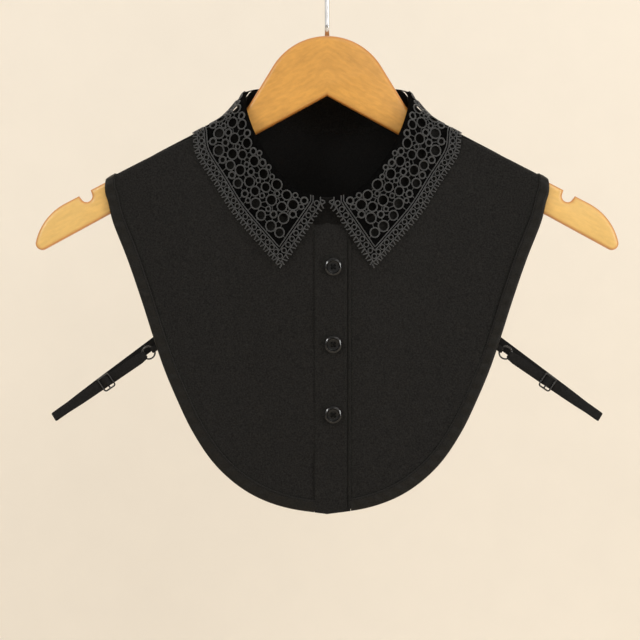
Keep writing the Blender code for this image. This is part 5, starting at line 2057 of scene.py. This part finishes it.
    def slider(self, name: str, node: str, material: bpy.types.Material) -> None:
        """The slider: a rounded frame and its middle bar, bent from round wire."""
        maker = Maker(name, Pattern.THREAD)
        half = self.slider_bar + self.slider_slot
        tall = self.slider_high / 2 - self.slider_bar / 2
        corner = 1.5
        path = []
        for number, (x, y) in enumerate(((1, 1), (-1, 1), (-1, -1), (1, -1))):
            for step in range(5):
                turn = math.pi / 2 * (number + step / 4)
                path.append(Vector((x * (half - corner) + corner * math.cos(turn),
                                    y * (tall - corner) + corner * math.sin(turn), 0.0)))
        bar = [Vector((0.0, tall * (1 - 2 * i / 8), 0.0)) for i in range(9)]
        place = self.matrix(self.slider_at, -0.7)
        for line, closed in ((path, True), (bar, False)):
            rings = []
            for index, point in enumerate(line):
                ahead = line[(index + 1) % len(line)] if closed or index < len(line) - 1 else None
                along = (ahead - point) if ahead else (point - line[index - 1])
                side = Vector((along.y, -along.x, 0.0)).normalized()
                ring = []
                for j in range(10):
                    lean = 2 * math.pi * j / 10
                    spot = point + side * math.cos(lean) * self.slider_bar / 2
                    spot.z = 0.6 * math.sin(lean)
                    ring.append(place @ (spot * MM))
                rings.append(ring)
            maker.tube(rings, closed)
        Outfit.add(maker.done(), material, "black_metal", (node,))

    def build(self) -> None:
        """Build the side's four pieces."""
        label = self.side.name.lower()
        material = self.metal.make()
        self.ribbon(f"elastic_{label}", self.stops(), f"strap_{label}")
        ends = [(-13.0, -1.2), (-9.0, -1.45)]
        places = ends + self.round_ring(-1.0) + [(d, -q) for d, q in reversed(ends)]
        stops = [self.stop(d, q)._replace(width=self.at_ring) for d, q in places]
        self.ribbon(f"ring_tab_{label}", stops, f"strap_tab_{label}")
        self.ring(f"wire_ring_{label}", f"strap_ring_{label}", material)
        self.slider(f"wire_slider_{label}", f"strap_slider_{label}", material)


# Studio


@dataclass
class Studio:
    """Plain sweep, soft lights and the photo's view."""

    paper: Paper
    lens: float = 200.0
    distance: float = 2.717
    aim: tuple[float, float] = (-0.0054, -0.2868)
    floor: float = -0.85
    wall: float = 0.42

    def sweep(self) -> None:
        """A floor that curves up into a wall."""
        maker = Maker("studio_sweep", Pattern.CLOTH)
        radius = 0.25
        line = [Vector((0.0, -4.0, self.floor)), Vector((0.0, self.wall - radius, self.floor))]
        for step in range(1, 17):
            turn = math.pi / 2 * step / 16
            line.append(Vector((0.0, self.wall - radius + radius * math.sin(turn),
                                self.floor + radius * (1 - math.cos(turn)))))
        line.append(Vector((0.0, self.wall, 2.5)))
        rows = [[maker.work.verts.new(p + Vector((x, 0.0, 0.0))) for x in (-3.0, 3.0)]
                for p in line]
        for row, after in zip(rows, rows[1:]):
            maker.face((row[0], row[1], after[1], after[0]), ((0, 0), (1, 0), (1, 1), (0, 1)))
        mesh = maker.done()
        if mesh.polygons[-1].normal.y > 0:
            mesh.flip_normals()
        mesh.materials.append(self.paper.make())
        thing = bpy.data.objects.new("studio_sweep", mesh)
        bpy.context.scene.collection.objects.link(thing)

    def light(self, name: str, place: Vector, aim: Vector, size: tuple[float, float],
              power: float, color: Color) -> None:
        """One soft rectangular light that faces a point."""
        data = bpy.data.lights.new(name, "AREA")
        data.shape = "RECTANGLE"
        data.size, data.size_y = size
        data.energy = power
        data.color = color
        thing = bpy.data.objects.new(name, data)
        thing.location = place
        thing.rotation_euler = (aim - place).to_track_quat("-Z", "Y").to_euler()
        bpy.context.scene.collection.objects.link(thing)

    def lights(self) -> None:
        """Key from the upper right, fill from the left, and a soft sky."""
        aim = Vector((0.0, 0.0, -0.25))
        self.light("key", Vector((0.9, -1.7, 0.9)), aim, (1.8, 1.8), 12.5, (1.0, 0.97, 0.92))
        self.light("fill", Vector((-1.5, -1.5, 0.6)), aim, (1.6, 1.6), 9.0, (1.0, 0.98, 0.95))
        self.light("rim_right", Vector((1.5, -0.9, -0.1)), aim, (0.16, 1.2), 11.0,
                   (1.0, 0.99, 0.97))
        self.light("rim_left", Vector((-1.3, -0.9, 0.5)), aim, (0.16, 0.5), 5.5,
                   (1.0, 0.99, 0.97))
        self.light("wall_wash", Vector((0.0, -0.5, 1.5)), Vector((0.0, self.wall, -0.35)),
                   (2.6, 0.6), 5.5, (1.0, 0.97, 0.92))
        world = bpy.data.worlds.new("studio_sky")
        world.use_nodes = True
        sky = world.node_tree.nodes["Background"]
        sky.inputs[0].default_value = (1.0, 0.965, 0.91, 1.0)
        sky.inputs[1].default_value = 0.42
        bpy.context.scene.world = world

    def camera(self) -> None:
        """The photo's view: level and square to the garment."""
        data = bpy.data.cameras.new("photo_view")
        data.lens = self.lens
        data.sensor_width = 36.0
        thing = bpy.data.objects.new("photo_view", data)
        thing.location = (self.aim[0], -self.distance, self.aim[1])
        thing.rotation_euler = (math.pi / 2, 0.0, 0.0)
        bpy.context.scene.collection.objects.link(thing)
        bpy.context.scene.camera = thing

    def build(self) -> None:
        """Set up the whole studio."""
        self.camera()
        self.sweep()
        self.lights()
        bpy.context.scene.view_settings.view_transform = "Standard"


def main() -> None:
    """Dress the frame piece by piece."""
    logging.basicConfig(level=logging.INFO, format="%(name)s: %(message)s")
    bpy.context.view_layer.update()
    Studio(Paper("studio_paper", (0.85, 0.785, 0.69), 0.9)).build()

    shape = HangerShape()
    drape = Drape(shape)
    garment = Garment(drape)
    collar = CollarForm(drape)
    cloth = Cloth("black_cloth", (0.0082, 0.0079, 0.0074), 0.8)
    # The back panel's cloth is darker on its inner faces: painted shade.
    back_cloth = Cloth("black_cloth_back", (0.0082, 0.0079, 0.0074), 0.85, painted_inside_shade=0.4)
    # The stand's cloth is a darker, duller copy of the panel cloth: painted shade inside the neck and
    # under the collar leaves.
    stand_cloth = Cloth("black_stand_cloth_painted_shade", (0.0045, 0.0043, 0.0040), 0.85, gloss=0.06)
    satin = Cloth("black_satin", (0.0050, 0.0044, 0.0034), 0.4, threads=3000.0, depth=0.00005,
                  sheen=0.0, gloss=0.2)
    elastic = Elastic("black_elastic", (0.0085, 0.0080, 0.0078), 0.7)
    lace = Thread("black_lace_thread", (0.036, 0.037, 0.038), 0.4, turns=1400.0, lean=0.5)
    # Near-black sheet under the lace cords: painted shade between the rings and bars.
    shade_sheet_finish = Cloth("black_lace_shade_sheet", (0.002, 0.002, 0.002), 0.95, sheen=0.0, gloss=0.02)
    sewing = Thread("black_sewing_thread", (0.003, 0.003, 0.003), 0.7, turns=900.0, gloss=0.1)
    black_wire = Metal("black_enamel_wire", (0.004, 0.004, 0.004), 0.22, 0.0, 0.4)

    Hanger(shape, Lacquer("honey_lacquer", (0.755, 0.37, 0.070), 0.4),
           Metal("bright_chrome", (0.74, 0.74, 0.75), 0.12)).build()
    Panels(garment, collar, cloth, back_cloth).build()
    Bindings(garment, satin, sewing).build()
    LaceLeaf(collar, lace, shade_sheet_finish).build()
    Stand(collar, garment, stand_cloth).build()
    Buttons(garment, Polished("black_button", (0.006, 0.006, 0.006), 0.1), sewing).build()
    for side in Side:
        Strap(side, elastic, black_wire).build()


if __name__ == "__main__":
    main()
